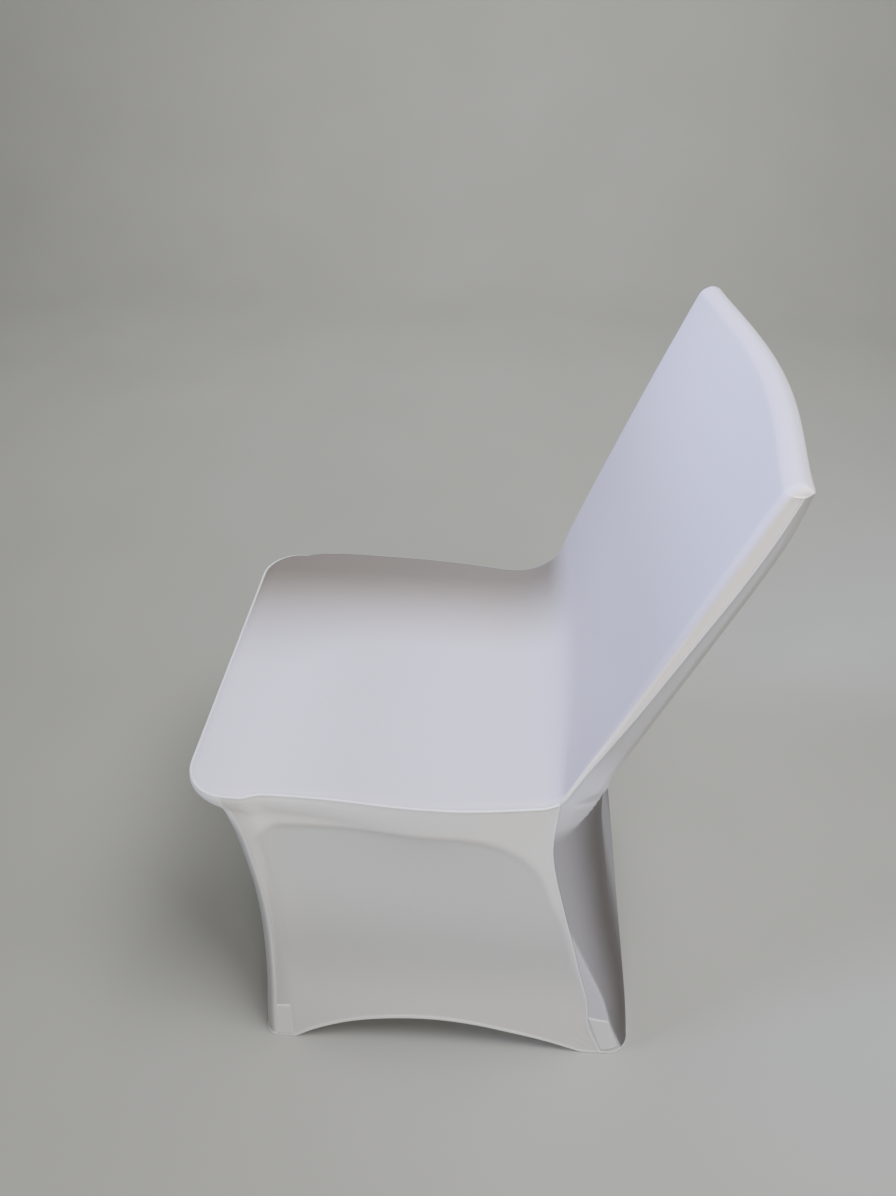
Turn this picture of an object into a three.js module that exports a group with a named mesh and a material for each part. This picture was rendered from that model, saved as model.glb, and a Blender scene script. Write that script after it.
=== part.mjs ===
// Stretch cover fitted over a stacking banquet chair.
//
// Millimetres, +Z up. +X is the sitter's left, -Y the front of the seat, Z = 0 the floor.
// The cover is tight and hollow: five panels of a white stretch knit, sewn edge to edge,
// and four small cups that hold the ends of the chair's legs.
//
//   seat_back_panel   seat, inside of the back with its side bands, top of the back
//   front_skirt       from the front rim of the seat down to an arched hem
//   side skirts       the same on the left and the right
//   rear_panel        outside of the back and the rear of the skirt, wrapped round both sides
//   foot cups         one in each lower corner
//
// Every panel is a grid of rows and columns laid on its outer face. A seam is one line of
// points that both panels share, so the panels follow each other with an even gap.

import * as THREE from 'three';

// Driving dimensions of the cloth
const CLOTH = 1.6; // thickness of the knit with its finish
const SEAM_GAP = 0.4; // left between two panels at a seam
const FLOOR_EDGE = 0.5; // an edge lower than this stands square on the floor

// Driving dimensions of the seat and the back
const SEAT_TOP = 471; // height of the seat at its rim
const SEAT_CROWN = 6; // extra height in the middle of the seat
const SEAT_CROWN_POWER = 0.7; // below 1 it keeps the crown full towards the rim and the crease
const SEAT_CORNER_SHARE = 0.2; // share of the seat over which its rounded front corners run out
const SEAT_CORNER_POWER = 6; // how soon its rows straighten behind those corners
const SEAT_EDGE_ROUND = 10; // width over which the seat's edge turns down
const SEAT_EDGE_DROP = 4.8; // depth of the rim seam below the seat
const RIM_BULGE = 1.2; // how far the side skirts swell out round the rim of the seat
const RIM_DEPTH = 34; // height of that swell
const RIM_END_SHARE = 0.12; // share of the rim over which the swell comes in at each end
const BRIDGE_EDGE_SHARE = 0.06; // share of a half width that the rounded edge of the crease takes
const CREASE_Y = -1.6; // where the planes of seat and back would cross
const BACK_LEAN = THREE.MathUtils.degToRad(19); // from the vertical
const BACK_SHOULDER = 846; // height where the top of the back starts to turn over
const BACK_HALF_LOW = 195.5; // half width of the back at the seat
const BACK_HALF_HIGH = 207; // half width of the back at the shoulder
const BACK_EDGE_ROUND = 7; // radius between the inside of the back and its side band
const REAR_EDGE_ROUND = 9; // radius between the outside of the back and its side
const BACK_BOW = 20; // how far the middle of the top rail stands behind its ends
const BACK_BOW_LOW = 0.3; // share of that bow at the seat
const BACK_BOW_POWER = 1.5;
const RIGHT_EDGE_PULL = 9; // how far the cloth pulls the right edge of the back forward
const PULL_START = 0.2; // share of the back's height over which that pull comes in
const PULL_LOSS = 0.7; // share of the pull that is gone at the shoulder

// Driving dimensions of the skirt
const SKIRT_TOP = 436; // where the skirt meets the underside of the seat's rim
const CREASE_HEIGHT = 472; // where the rear of the skirt turns into the back
const CREASE_APPROACH = 60; // height over which the rear seams run up to the crease corners
const SIDE_HOLLOW = 5; // how far the side skirts draw in between the legs
const SIDE_HOLLOW_POWER = 0.6; // below 1 it keeps the hollow full towards the hem
const SIDE_HOLLOW_RIM_POWER = 1.6; // above 1 it lets the hollow start gently under the rim
const SIDE_HEM_FRONT = -308; // where the side arch leaves the floor, front and rear
const SIDE_HEM_REAR = 66;
const FRONT_HEM_HALF = 184; // half width of the front arch
const FRONT_HEM_RISE = 62;
const REAR_HEM_HALF = 160; // half width of the rear arch
const REAR_HEM_RISE = 52;
const ARCH_POWER = 2.6; // above 2 the arches are squarer than an ellipse

// The outside of the back above the crease, and where its middle row stops below the top
const REAR_TURN_END = 500; // height where the roundings of the skirt's rear have run out
const REAR_TURN_ROUND = 24; // those roundings at the crease: across, and in depth
const REAR_TURN_DEPTH = 35;
const REAR_TOP_ROW = 826;

// The fold under each crease corner, where the wrap of the rear panel falls in below the frame
const FOLD_DEPTH = 4;
const FOLD_SOFT = 36; // height over which it falls in
const FOLD_TOP_SEAM = 436; // height of its upper edge at the seam, and where the wrap ends
const FOLD_TOP_REAR = 458;
const FOLD_END = 190; // height where it has run out
const REAR_BOW_START = 400; // from here up the rear of the skirt takes on the bow of the back

// The soft step where the cloth leaves the frame under the side skirts
const STEP_DEPTH = 3;
const STEP_WIDTH = 16; // over which the step is spread
const STEP_TOP = 422; // height of its upper edge
const STEP_FRONT_MARGIN = 22; // from the front of the skirt, near the seat
const STEP_FRONT_LOW = 220; // heights between which that margin comes in
const STEP_FRONT_HIGH = 380;
const STEP_REAR_MARGIN = 8; // the same at the seam behind the skirt
const STEP_REAR_LOW = 250;
const STEP_REAR_HIGH = 330;
const STEP_FRONT_ROUND = 46;
const STEP_REAR_ROUND = 95;
const STEP_FADE_LOW = 80; // heights between which the step comes in
const STEP_FADE_HIGH = 220;

// Cups for the ends of the legs
const CUP_HEIGHT = 76;
const CUP_CLEARANCE = 0.5; // from the panels
const CUP_WIDTH = 34; // across, along X
const CUP_LENGTH = { front: 36, rear: 50 };
const CUP_TAPER = 1.8; // how far its outer side leans in, away from the corner
const CUP_ROUND = 5; // radius of its inner corners
const CUP_TIGHT_ROUND = 1; // radius of the corner that lies in the fold of the rear panel
const CUP_CORNER_STEPS = 4;

// Position of the middle of the whole cover along Y, which becomes the origin
const CENTRE_Y = -107;

// The front of the skirt at each height: its face, half width and corners
const FRONT = [
  { z: 0, y: -347.5, x: 222, round: 16 },
  { z: 60, y: -342, x: 220, round: 15 },
  { z: 120, y: -335.5, x: 218, round: 14 },
  { z: 180, y: -331.5, x: 215.5, round: 14 },
  { z: 240, y: -329, x: 213, round: 14 },
  { z: 300, y: -330, x: 210.5, round: 14 },
  { z: 360, y: -335.5, x: 208, round: 14 },
  { z: 400, y: -341, x: 207, round: 15 },
  { z: 436, y: -350, x: 206, round: 16 },
  { z: 472, y: -350, x: 206, round: 16 },
];

// The rear of the skirt at each height: the seam behind each side skirt, the rear face, and
// the flat strip and the rounding between them
const REAR = [
  { z: 0, seamX: 213, seamY: 91, y: 126, flat: 8, round: 26 },
  { z: 60, seamX: 210, seamY: 69, y: 118, flat: 22, round: 30 },
  { z: 120, seamX: 207, seamY: 60, y: 108, flat: 15, round: 42 },
  { z: 180, seamX: 204.5, seamY: 45, y: 94, flat: 11, round: 50 },
  { z: 240, seamX: 202, seamY: 31, y: 79, flat: 5, round: 56 },
  { z: 300, seamX: 200, seamY: 16.5, y: 67.5, flat: 0, round: 60 },
  { z: 360, seamX: 198, seamY: 3, y: 57, flat: 0, round: 60 },
  { z: 400, seamX: 197, seamY: -3, y: 51, flat: 0, round: 58 },
  { z: 436, seamX: 196, seamY: -4.4, y: 47, flat: 0, round: 48 },
  { z: 472, seamX: 195.6, seamY: -4, y: 45, flat: 14, round: 24 },
];

// Rows that carry the cloth round the front rim of the seat: the place of their middle,
// the radius of their corners seen from above, and how far their ends go back and down.
const RIM = [
  { y: -363, z: 444, half: 206.5, round: 26, back: 27, drop: 0 },
  { y: -378, z: 451.5, half: 208.5, round: 36, back: 38, drop: 0.5 },
  { y: -385, z: 457.5, half: 209.5, round: 43, back: 43.5, drop: 0.5 },
  { y: -386.5, z: 462, half: 209.7, round: 45, back: 45, drop: 0 },
  { y: -384.5, z: 466.5, half: 208.5, round: 45, back: 44, drop: 0 },
  { y: -379, z: 469.4, half: 208.5, round: 45, back: 44, drop: 3 },
  { y: -370, z: 470.8, half: 208.5, round: 44, back: 41, drop: 4.4 },
  { y: -356, z: 471, half: 208.4, round: 40, back: 34, drop: 4.7 },
];

// The row above that is the seam between the front skirt and the seat
const RIM_SEAM = 4;

// Half widths of the seat, which is a little uneven from side to side
const SEAT = [
  { y: -345, left: 208.4, right: 209 },
  { y: -310, left: 203, right: 214.5 },
  { y: -280, left: 202, right: 217 },
  { y: -220, left: 203.5, right: 215.5 },
  { y: -165, left: 207.5, right: 212.5 },
  { y: -110, left: 208, right: 207 },
  { y: -70, left: 205, right: 201 },
  { y: -30, left: 199.5, right: 197 },
  { y: 0, left: 196, right: 196 },
];

// Where the rows of the seat lie, as shares of the way from the rim to the crease
const SEAT_SHARES = [0.1, 0.2, 0.3, 0.4, 0.5, 0.6, 0.7, 0.8, 0.9];

// Radius with which the cloth bridges the crease, from the right edge to the left one
const BRIDGE = [
  { across: -1, radius: 85 },
  { across: -0.5, radius: 84 },
  { across: 0, radius: 74 },
  { across: 0.5, radius: 54 },
  { across: 0.85, radius: 32 },
  { across: 1, radius: 24 },
];

// Shares of the bridge: below the first the seat's edge keeps its drop, and from the second
// on the side band has its full depth.
const BRIDGE_DROP_FULL = 0.25;
const BRIDGE_DEPTH_FULL = 0.75;

// Where the rows of the bridge lie, as shares of its arc
const BRIDGE_SHARES = [0, 0.25, 0.5, 0.75, 1];

// The back at each height: depth of the side seam and of the outside behind the inside face
const BACK = [
  { z: 472, seam: 4, depth: 46 },
  { z: 508, seam: 4.5, depth: 35 },
  { z: 544, seam: 7, depth: 34 },
  { z: 586, seam: 11, depth: 34 },
  { z: 643, seam: 14, depth: 34 },
  { z: 696, seam: 16.5, depth: 34 },
  { z: 743, seam: 18.5, depth: 34 },
  { z: 781, seam: 19.5, depth: 33.5 },
  { z: 820, seam: 18.5, depth: 30.5 },
  { z: 846, seam: 16.5, depth: 24.5 },
];

// Where the rows of the back lie, as shares of the way from the bridge to the shoulder
const BACK_SHARES = [0.1, 0.22, 0.36, 0.5, 0.64, 0.77, 0.89, 1];

// Rows over the top of the back: behind the shoulder and above it, the same for their ends,
// and the height of the matching row on the outside of the back.
const TOP = [
  { y: 3, z: 5, endY: 17.6, endZ: 1.3, outside: 832 },
  { y: 8, z: 8.6, endY: 18.8, endZ: 2.5, outside: 838 },
  { y: 13, z: 10, endY: 20, endZ: 3.6, outside: 843 },
  { y: 18, z: 9, endY: 21.1, endZ: 4.6, outside: 848 },
  { y: 22, z: 6.4, endY: 22, endZ: 5.5, outside: 852 },
];

// Height of the side hem along its arch, from the front foot to the rear one
const SIDE_HEM = [
  { along: 0, rise: 0 },
  { along: 0.075, rise: 23 },
  { along: 0.2, rise: 48 },
  { along: 0.34, rise: 61 },
  { along: 0.48, rise: 64 },
  { along: 0.61, rise: 57 },
  { along: 0.74, rise: 42 },
  { along: 0.87, rise: 24 },
  { along: 1, rise: 0 },
];

// Where the rows of the skirt lie, as shares of its height
const SKIRT_SHARES = [0, 0.06, 0.14, 0.24, 0.35, 0.47, 0.59, 0.71, 0.82, 0.92, 1];

// Columns of the seat, front and rear panels: across the flat middle, and round each edge
const MIDDLE_COLUMNS = 10;
const EDGE_COLUMNS = 6;

const { clamp, lerp, smoothstep } = THREE.MathUtils;

// Smooth value of one column of a table at a given place
function lookUp(table, key, column, place) {
  const last = table.length - 1;
  const at = clamp(place, table[0][key], table[last][key]);
  let i = 0;
  while (i < last - 1 && table[i + 1][key] < at) i += 1;
  const slope = (j) => {
    const a = table[Math.max(j - 1, 0)];
    const b = table[Math.min(j + 1, last)];
    return (b[column] - a[column]) / (b[key] - a[key]);
  };
  const width = table[i + 1][key] - table[i][key];
  const t = (at - table[i][key]) / width;
  const start = table[i][column];
  const end = table[i + 1][column];
  const rise = t * t * (3 - 2 * t);
  const leave = t * (1 - t) * (1 - t) * width * slope(i);
  const arrive = t * t * (t - 1) * width * slope(i + 1);
  return start + (end - start) * rise + leave + arrive;
}

const frontAt = (column, z) => lookUp(FRONT, 'z', column, z);
const rearAt = (column, z) => lookUp(REAR, 'z', column, z);
const backHalf = (z) =>
  lerp(BACK_HALF_LOW, BACK_HALF_HIGH, (z - CREASE_HEIGHT) / (BACK_SHOULDER - CREASE_HEIGHT));

// Columns run from -1, the right edge, to +1. Each gives its side, how far it lies across
// the flat middle (0 to 1), and how far round the edge (0 to 1).
function columnList() {
  const half = [];
  for (let j = 0; j <= MIDDLE_COLUMNS / 2; j += 1) half.push({ flat: j / (MIDDLE_COLUMNS / 2), edge: 0 });
  for (let j = 1; j <= EDGE_COLUMNS; j += 1) half.push({ flat: 1, edge: j / EDGE_COLUMNS });
  const left = half.map((c) => ({ side: 1, ...c }));
  const right = half.slice(1).reverse().map((c) => ({ side: -1, ...c }));
  return [...right, ...left];
}

const COLUMNS = columnList();

// Place along a rounded edge: x is how far in from the outermost width, deep how far behind
// the face. The rounding is a quarter ellipse, and a flat strip follows it.
function edgePlace(edge, round, depth, flat) {
  const turn = Math.max(depth - flat, 0);
  const arc = (Math.PI / 4) * (round + turn);
  const along = edge * (arc + flat);
  if (along >= arc) return { inset: 0, deep: turn + along - arc };
  const angle = (along / arc) * (Math.PI / 2);
  return { inset: round * (1 - Math.sin(angle)), deep: turn * (1 - Math.cos(angle)) };
}

// How much of a drop is reached at a distance in from the outermost width
function dropShare(inset, round) {
  const reach = clamp(1 - inset / round, 0, 1);
  return 1 - Math.sqrt(1 - reach * reach);
}

const archShare = (x, half) => {
  const across = Math.abs(x) / half;
  return across < 1 ? Math.sqrt(1 - across ** ARCH_POWER) : 0;
};

// Extra depth of the back at a point: its bow, and the pull on its right edge
function backShape(x, z) {
  const across = clamp(x / backHalf(z), -1, 1);
  const up = clamp((z - SEAT_TOP) / (BACK_SHOULDER - SEAT_TOP), 0, 1);
  const bow = BACK_BOW * lerp(BACK_BOW_LOW, 1, up * up) * (1 - across * across) ** BACK_BOW_POWER;
  const strength = smoothstep(up, 0, PULL_START) * (1 - PULL_LOSS * up ** 3);
  return bow - RIGHT_EDGE_PULL * ((1 - across) / 2) ** 3 * strength;
}

const backPlane = (z) => CREASE_Y + (z - SEAT_TOP) * Math.tan(BACK_LEAN);

// One row of the front skirt
function skirtRow(share) {
  return COLUMNS.map((column) => {
    const seamZ = SKIRT_TOP * share;
    const half = frontAt('x', seamZ);
    const round = frontAt('round', seamZ);
    const place = edgePlace(column.edge, round, round, 0);
    const x = column.side * (column.flat * (half - round) + (column.flat === 1 ? round - place.inset : 0));
    const hem = FRONT_HEM_RISE * archShare(x, FRONT_HEM_HALF);
    const z = lerp(hem, SKIRT_TOP, share);
    return new THREE.Vector3(x, frontAt('y', z) + place.deep, z);
  });
}

// One row round the front rim of the seat
function rimRow({ y, z, half, round, back, drop }) {
  return COLUMNS.map((column) => {
    const place = edgePlace(column.edge, round, back, 0);
    const x = column.side * (column.flat * (half - round) + (column.flat === 1 ? round - place.inset : 0));
    const fall = drop * dropShare(place.inset, SEAT_EDGE_ROUND);
    return new THREE.Vector3(x, y + place.deep, z - fall);
  });
}

// Start of the bridge over the crease, in front of it and up the back, for a column
function bridge(column) {
  const across = column.side * lerp(column.flat, column.edge, BRIDGE_EDGE_SHARE);
  const radius = lookUp(BRIDGE, 'across', 'radius', across);
  const turn = Math.PI / 2 - BACK_LEAN;
  return { radius, turn, reach: radius * Math.tan(turn / 2) };
}

// One row of the seat, at a share of the way from the last rim row to the bridge
function seatRow(share) {
  const first = RIM[RIM.length - 1];
  const round = lerp(first.round, SEAT_EDGE_ROUND, Math.min(share / SEAT_CORNER_SHARE, 1));
  const back = first.back * (1 - share) ** SEAT_CORNER_POWER;
  return COLUMNS.map((column) => {
    const place = edgePlace(column.edge, round, back, 0);
    const end = CREASE_Y - bridge(column).reach;
    const y = lerp(first.y, end, share) + place.deep;
    const half = lookUp(SEAT, 'y', column.side > 0 ? 'left' : 'right', y);
    const x = column.side * (column.flat * (half - round) + (column.flat === 1 ? round - place.inset : 0));
    const fall = SEAT_EDGE_DROP * dropShare(place.inset, SEAT_EDGE_ROUND);
    const middle = (1 - (x / half) ** 2) * Math.sin(Math.PI * share) ** SEAT_CROWN_POWER;
    return new THREE.Vector3(x, y, SEAT_TOP - fall + SEAT_CROWN * middle);
  });
}

// One row of the bridge over the crease, from the seat (0) to the back (1)
function bridgeRow(share) {
  return COLUMNS.map((column) => {
    const { radius, turn, reach } = bridge(column);
    const angle = share * turn;
    const y = CREASE_Y - reach + radius * Math.sin(angle);
    const z = SEAT_TOP + radius * (1 - Math.cos(angle));
    const half = lerp(lookUp(SEAT, 'y', column.side > 0 ? 'left' : 'right', y), backHalf(z), share);
    const round = lerp(SEAT_EDGE_ROUND, BACK_EDGE_ROUND, share);
    const depth = lookUp(BACK, 'z', 'seam', z) * smoothstep(share, 0, BRIDGE_DEPTH_FULL);
    const place = edgePlace(column.edge, round, depth, Math.max(depth - round, 0));
    const x = column.side * (column.flat * (half - round) + (column.flat === 1 ? round - place.inset : 0));
    const drop = SEAT_EDGE_DROP * (1 - smoothstep(share, BRIDGE_DROP_FULL, 1));
    const fall = drop * dropShare(place.inset, SEAT_EDGE_ROUND);
    return new THREE.Vector3(x, y + place.deep + backShape(x, z) * share, z - fall);
  });
}

// One row of the inside of the back, with the side bands that lead to the seams
function backRow(share) {
  return COLUMNS.map((column) => {
    const { radius, turn } = bridge(column);
    const start = SEAT_TOP + radius * (1 - Math.cos(turn));
    const z = lerp(start, BACK_SHOULDER, share);
    const half = backHalf(z);
    const depth = lookUp(BACK, 'z', 'seam', z);
    const place = edgePlace(column.edge, BACK_EDGE_ROUND, depth, Math.max(depth - BACK_EDGE_ROUND, 0));
    const inner = half - BACK_EDGE_ROUND;
    const x = column.side * (column.flat * inner + (column.flat === 1 ? BACK_EDGE_ROUND - place.inset : 0));
    return new THREE.Vector3(x, backPlane(z) + place.deep + backShape(x, z), z);
  });
}

// One row over the top of the back
function topRow({ y, z, endY, endZ }) {
  return COLUMNS.map((column) => {
    const depth = endY - y;
    const place = edgePlace(column.edge, BACK_EDGE_ROUND, depth, Math.max(depth - BACK_EDGE_ROUND, 0));
    const inner = BACK_HALF_HIGH - BACK_EDGE_ROUND;
    const x = column.side * (column.flat * inner + (column.flat === 1 ? BACK_EDGE_ROUND - place.inset : 0));
    const shoulder = backPlane(BACK_SHOULDER) + backShape(x, BACK_SHOULDER);
    const rise = lerp(z, endZ, dropShare(place.inset, BACK_EDGE_ROUND));
    return new THREE.Vector3(x, shoulder + y + place.deep, BACK_SHOULDER + rise);
  });
}

const frontRows = [
  ...SKIRT_SHARES.map(skirtRow),
  ...RIM.map(rimRow),
  ...SEAT_SHARES.map(seatRow),
  ...BRIDGE_SHARES.map(bridgeRow),
  ...BACK_SHARES.map(backRow),
  ...TOP.map(topRow),
];

// Rows where the seams part: the front corner of the rim, the crease corner and the shoulder
const CORNER_ROW = SKIRT_SHARES.length + RIM_SEAM;
const BRIDGE_START = SKIRT_SHARES.length + RIM.length + SEAT_SHARES.length;
const CREASE_ROW = BRIDGE_START + (BRIDGE_SHARES.length - 1) / 2;
const SHOULDER_ROW = frontRows.length - 1 - TOP.length;
const columnEnd = (side) => (side > 0 ? COLUMNS.length - 1 : 0);

// The seam behind a side skirt, from the floor to the crease corner
function rearSeam(side) {
  const top = frontRows[CREASE_ROW][columnEnd(side)];
  const points = [];
  for (let i = 0; i <= CORNER_ROW; i += 1) {
    const z = (top.z * i) / CORNER_ROW;
    const blend = smoothstep(z, SKIRT_TOP - CREASE_APPROACH, top.z);
    const x = lerp(side * rearAt('seamX', z), top.x, blend);
    points.push(new THREE.Vector3(x, lerp(rearAt('seamY', z), top.y, blend), z));
  }
  return points;
}

// One side skirt, filled in between its four edges, then swelled at the rim and drawn in
function sideSkirt(side) {
  const end = columnEnd(side);
  const front = frontRows.slice(0, CORNER_ROW + 1).map((row) => row[end]);
  const top = frontRows.slice(CORNER_ROW, CREASE_ROW + 1).map((row) => row[end]);
  const rear = rearSeam(side);
  const first = front[0];
  const last = rear[0];
  const across = top.map((p) => (p.y - top[0].y) / (top[top.length - 1].y - top[0].y));
  const hem = across.map((share) => {
    const p = first.clone().lerp(last, share);
    const along = (p.y - SIDE_HEM_FRONT) / (SIDE_HEM_REAR - SIDE_HEM_FRONT);
    const open = along > 0 && along < 1;
    return p.setZ(open ? lookUp(SIDE_HEM, 'along', 'rise', along) : 0);
  });
  return front.map((left, i) => across.map((s, j) => {
    const right = rear[i];
    const t = i / CORNER_ROW;
    if (j === 0) return left.clone();
    if (j === across.length - 1) return right.clone();
    if (i === 0) return hem[j].clone();
    if (i === CORNER_ROW) return top[j].clone();
    const p = new THREE.Vector3().addScaledVector(left, 1 - s).addScaledVector(right, s);
    p.addScaledVector(hem[j], 1 - t).addScaledVector(top[j], t);
    p.addScaledVector(front[0], -(1 - s) * (1 - t)).addScaledVector(rear[0], -s * (1 - t));
    p.addScaledVector(top[0], -(1 - s) * t).addScaledVector(top[top.length - 1], -s * t);
    const below = clamp((top[j].z - p.z) / RIM_DEPTH, 0, 1);
    const bulge = RIM_BULGE * Math.sin(Math.PI * below) * smoothstep(Math.min(s, 1 - s), 0, RIM_END_SHARE);
    const power = t < 0.5 ? SIDE_HOLLOW_POWER : SIDE_HOLLOW_RIM_POWER;
    const hollow = SIDE_HOLLOW * Math.sin(Math.PI * s) * Math.sin(Math.PI * t) ** power;
    p.x += side * (bulge - hollow - stepDepth(p));
    return p;
  }));
}

// Depth of the soft step at a point of a side skirt: nil over the frame, full inside it
function stepDepth(p) {
  const frontMargin = STEP_FRONT_MARGIN * smoothstep(p.z, STEP_FRONT_LOW, STEP_FRONT_HIGH);
  const rearMargin = STEP_REAR_MARGIN * smoothstep(p.z, STEP_REAR_LOW, STEP_REAR_HIGH);
  const fromFront = p.y - frontAt('y', p.z) - frontMargin;
  const fromRear = rearAt('seamY', p.z) - p.y - rearMargin;
  const fromTop = STEP_TOP - p.z;
  const corner = (a, b, round) => {
    const u = Math.max(round - a, 0);
    const v = Math.max(round - b, 0);
    return u > 0 && v > 0 ? round - Math.hypot(u, v) : Math.min(a, b);
  };
  const within = Math.min(
    corner(fromFront, fromTop, STEP_FRONT_ROUND),
    corner(fromRear, fromTop, STEP_REAR_ROUND),
  );
  return STEP_DEPTH * smoothstep(within, 0, STEP_WIDTH) * smoothstep(p.z, STEP_FADE_LOW, STEP_FADE_HIGH);
}

// Depth of the fold under a crease corner, at a place round the wrap of the rear panel
function foldDepth(edge, z) {
  const top = lerp(FOLD_TOP_REAR, FOLD_TOP_SEAM, edge);
  const below = smoothstep(top - z, 0, FOLD_SOFT) * smoothstep(z, FOLD_END, top);
  return FOLD_DEPTH * Math.sin(Math.PI * edge) * below;
}

// The rear panel: skirt rows up to the crease corners, then the outside of the back
function rearPanel() {
  const seams = { 1: rearSeam(1), '-1': rearSeam(-1) };
  const ends = (side, i) => (i <= CORNER_ROW
    ? seams[side][i]
    : frontRows[CREASE_ROW + i - CORNER_ROW][columnEnd(side)]);
  const count = CORNER_ROW + frontRows.length - CREASE_ROW;
  const shoulder = CORNER_ROW + SHOULDER_ROW - CREASE_ROW;
  const rows = [];
  for (let i = 0; i < count - 1; i += 1) {
    rows.push(COLUMNS.map((column) => {
      const end = ends(column.side, i);
      if (column.edge === 1) return end.clone();
      const middleZ = i > shoulder ? TOP[i - shoulder - 1].outside : Math.min(ends(1, i).z, REAR_TOP_ROW);
      const onSkirt = i <= CORNER_ROW;
      const half = Math.abs(end.x);
      const flatX = column.side * column.flat * half;
      const hem = REAR_HEM_RISE * archShare(flatX, REAR_HEM_HALF) * Math.max(1 - middleZ / SKIRT_TOP, 0);
      const z = middleZ + hem;
      const onBack = backPlane(z) + lookUp(BACK, 'z', 'depth', z) + backShape(flatX, z);
      const bow = backShape(flatX, z) * smoothstep(z, REAR_BOW_START, CREASE_HEIGHT);
      const rearY = onSkirt ? rearAt('y', z) + bow : onBack;
      const depth = rearY - end.y;
      const blend = smoothstep(z, CREASE_HEIGHT, REAR_TURN_END);
      const round = onSkirt ? rearAt('round', z) : lerp(REAR_TURN_ROUND, REAR_EDGE_ROUND, blend);
      const backTurn = lerp(REAR_TURN_DEPTH, REAR_EDGE_ROUND, blend);
      const flat = onSkirt ? rearAt('flat', z) : Math.max(depth - backTurn, 0);
      const place = edgePlace(column.edge, round, depth, flat);
      const x = column.side * (column.flat * (half - round) + (column.flat === 1 ? round - place.inset : 0));
      const fold = foldDepth(column.edge, z) * Math.SQRT1_2;
      const y = rearY - place.deep - fold;
      return new THREE.Vector3(x - column.side * fold, y, lerp(z, end.z, column.edge));
    }));
  }
  rows.push(frontRows[frontRows.length - 1].map((p) => p.clone()));
  return rows;
}

// Outward normals of a grid, from the triangles round each point
function gridNormals(rows, outward) {
  const normals = rows.map((row) => row.map(() => new THREE.Vector3()));
  const a = new THREE.Vector3();
  const b = new THREE.Vector3();
  for (let i = 0; i + 1 < rows.length; i += 1) {
    for (let j = 0; j + 1 < rows[i].length; j += 1) {
      const corners = [[i, j], [i, j + 1], [i + 1, j + 1], [i + 1, j]];
      const [p, q, r, s] = corners.map(([m, n]) => rows[m][n]);
      const face = a.subVectors(r, p).cross(b.subVectors(s, q)).multiplyScalar(outward);
      const size = face.length();
      corners.forEach(([m, n]) => normals[m][n].addScaledVector(face, 1 / Math.max(size, 1e-9) ** 0.5));
    }
  }
  return normals;
}

// Panels that share a point lean on one normal there, so their edges stay parallel
function joinNormals(panels) {
  const shared = new Map();
  const keyOf = (p) => p.toArray().map((value) => Math.round(value * 100)).join(' ');
  panels.forEach(({ rows, normals }) => rows.forEach((row, i) => row.forEach((p, j) => {
    const key = keyOf(p);
    const unit = normals[i][j].clone().normalize();
    shared.set(key, (shared.get(key) ?? new THREE.Vector3()).add(unit));
  })));
  panels.forEach(({ rows, normals }) => rows.forEach((row, i) => row.forEach((p, j) => {
    normals[i][j].copy(shared.get(keyOf(p))).normalize();
  })));
}

// Rows drawn back from the edges that are sewn, by half the gap. A first row that is a hem
// stays where it is.
function trimmed(rows, hem) {
  const last = rows.length - 1;
  const end = rows[0].length - 1;
  const toward = (p, q) => q.clone().sub(p).normalize().multiplyScalar(SEAM_GAP / 2);
  return rows.map((row, i) => row.map((p, j) => {
    const out = p.clone();
    if (!hem && i === 0) out.add(toward(p, rows[1][j]));
    if (i === last) out.add(toward(p, rows[last - 1][j]));
    if (j === 0) out.add(toward(p, row[1]));
    if (j === end) out.add(toward(p, row[end - 1]));
    return out;
  }));
}

// A closed sheet: the outer face, the inner face one thickness behind it, and four edges
function sheet(rows, normals, outward) {
  const wide = rows[0].length;
  const outer = rows.flat();
  const flatNormals = normals.flat();
  const inner = outer.map((p, k) => {
    const behind = p.clone().addScaledVector(flatNormals[k], -CLOTH);
    return p.z < FLOOR_EDGE ? behind.setZ(p.z) : behind;
  });
  const points = [...outer, ...inner];
  const at = (i, j, level) => level * outer.length + i * wide + j;
  const triangles = [];
  const quad = (a, b, c, d) => {
    const order = outward > 0 ? [a, b, c, a, c, d] : [a, c, b, a, d, c];
    triangles.push(...order);
  };
  for (let i = 0; i + 1 < rows.length; i += 1) {
    for (let j = 0; j + 1 < wide; j += 1) {
      quad(at(i, j, 0), at(i, j + 1, 0), at(i + 1, j + 1, 0), at(i + 1, j, 0));
      quad(at(i, j, 1), at(i + 1, j, 1), at(i + 1, j + 1, 1), at(i, j + 1, 1));
    }
  }
  const border = [];
  for (let j = 0; j < wide - 1; j += 1) border.push([0, j]);
  for (let i = 0; i < rows.length - 1; i += 1) border.push([i, wide - 1]);
  for (let j = wide - 1; j > 0; j -= 1) border.push([rows.length - 1, j]);
  for (let i = rows.length - 1; i > 0; i -= 1) border.push([i, 0]);
  border.forEach(([i, j], k) => {
    const [m, n] = border[(k + 1) % border.length];
    quad(at(i, j, 1), at(m, n, 1), at(m, n, 0), at(i, j, 0));
  });
  return geometryOf(points, triangles);
}

function geometryOf(points, triangles) {
  const geometry = new THREE.BufferGeometry();
  const values = points.flatMap((p) => p.toArray());
  geometry.setAttribute('position', new THREE.Float32BufferAttribute(values, 3));
  geometry.setIndex(triangles);
  geometry.computeVertexNormals();
  return geometry;
}

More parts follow.
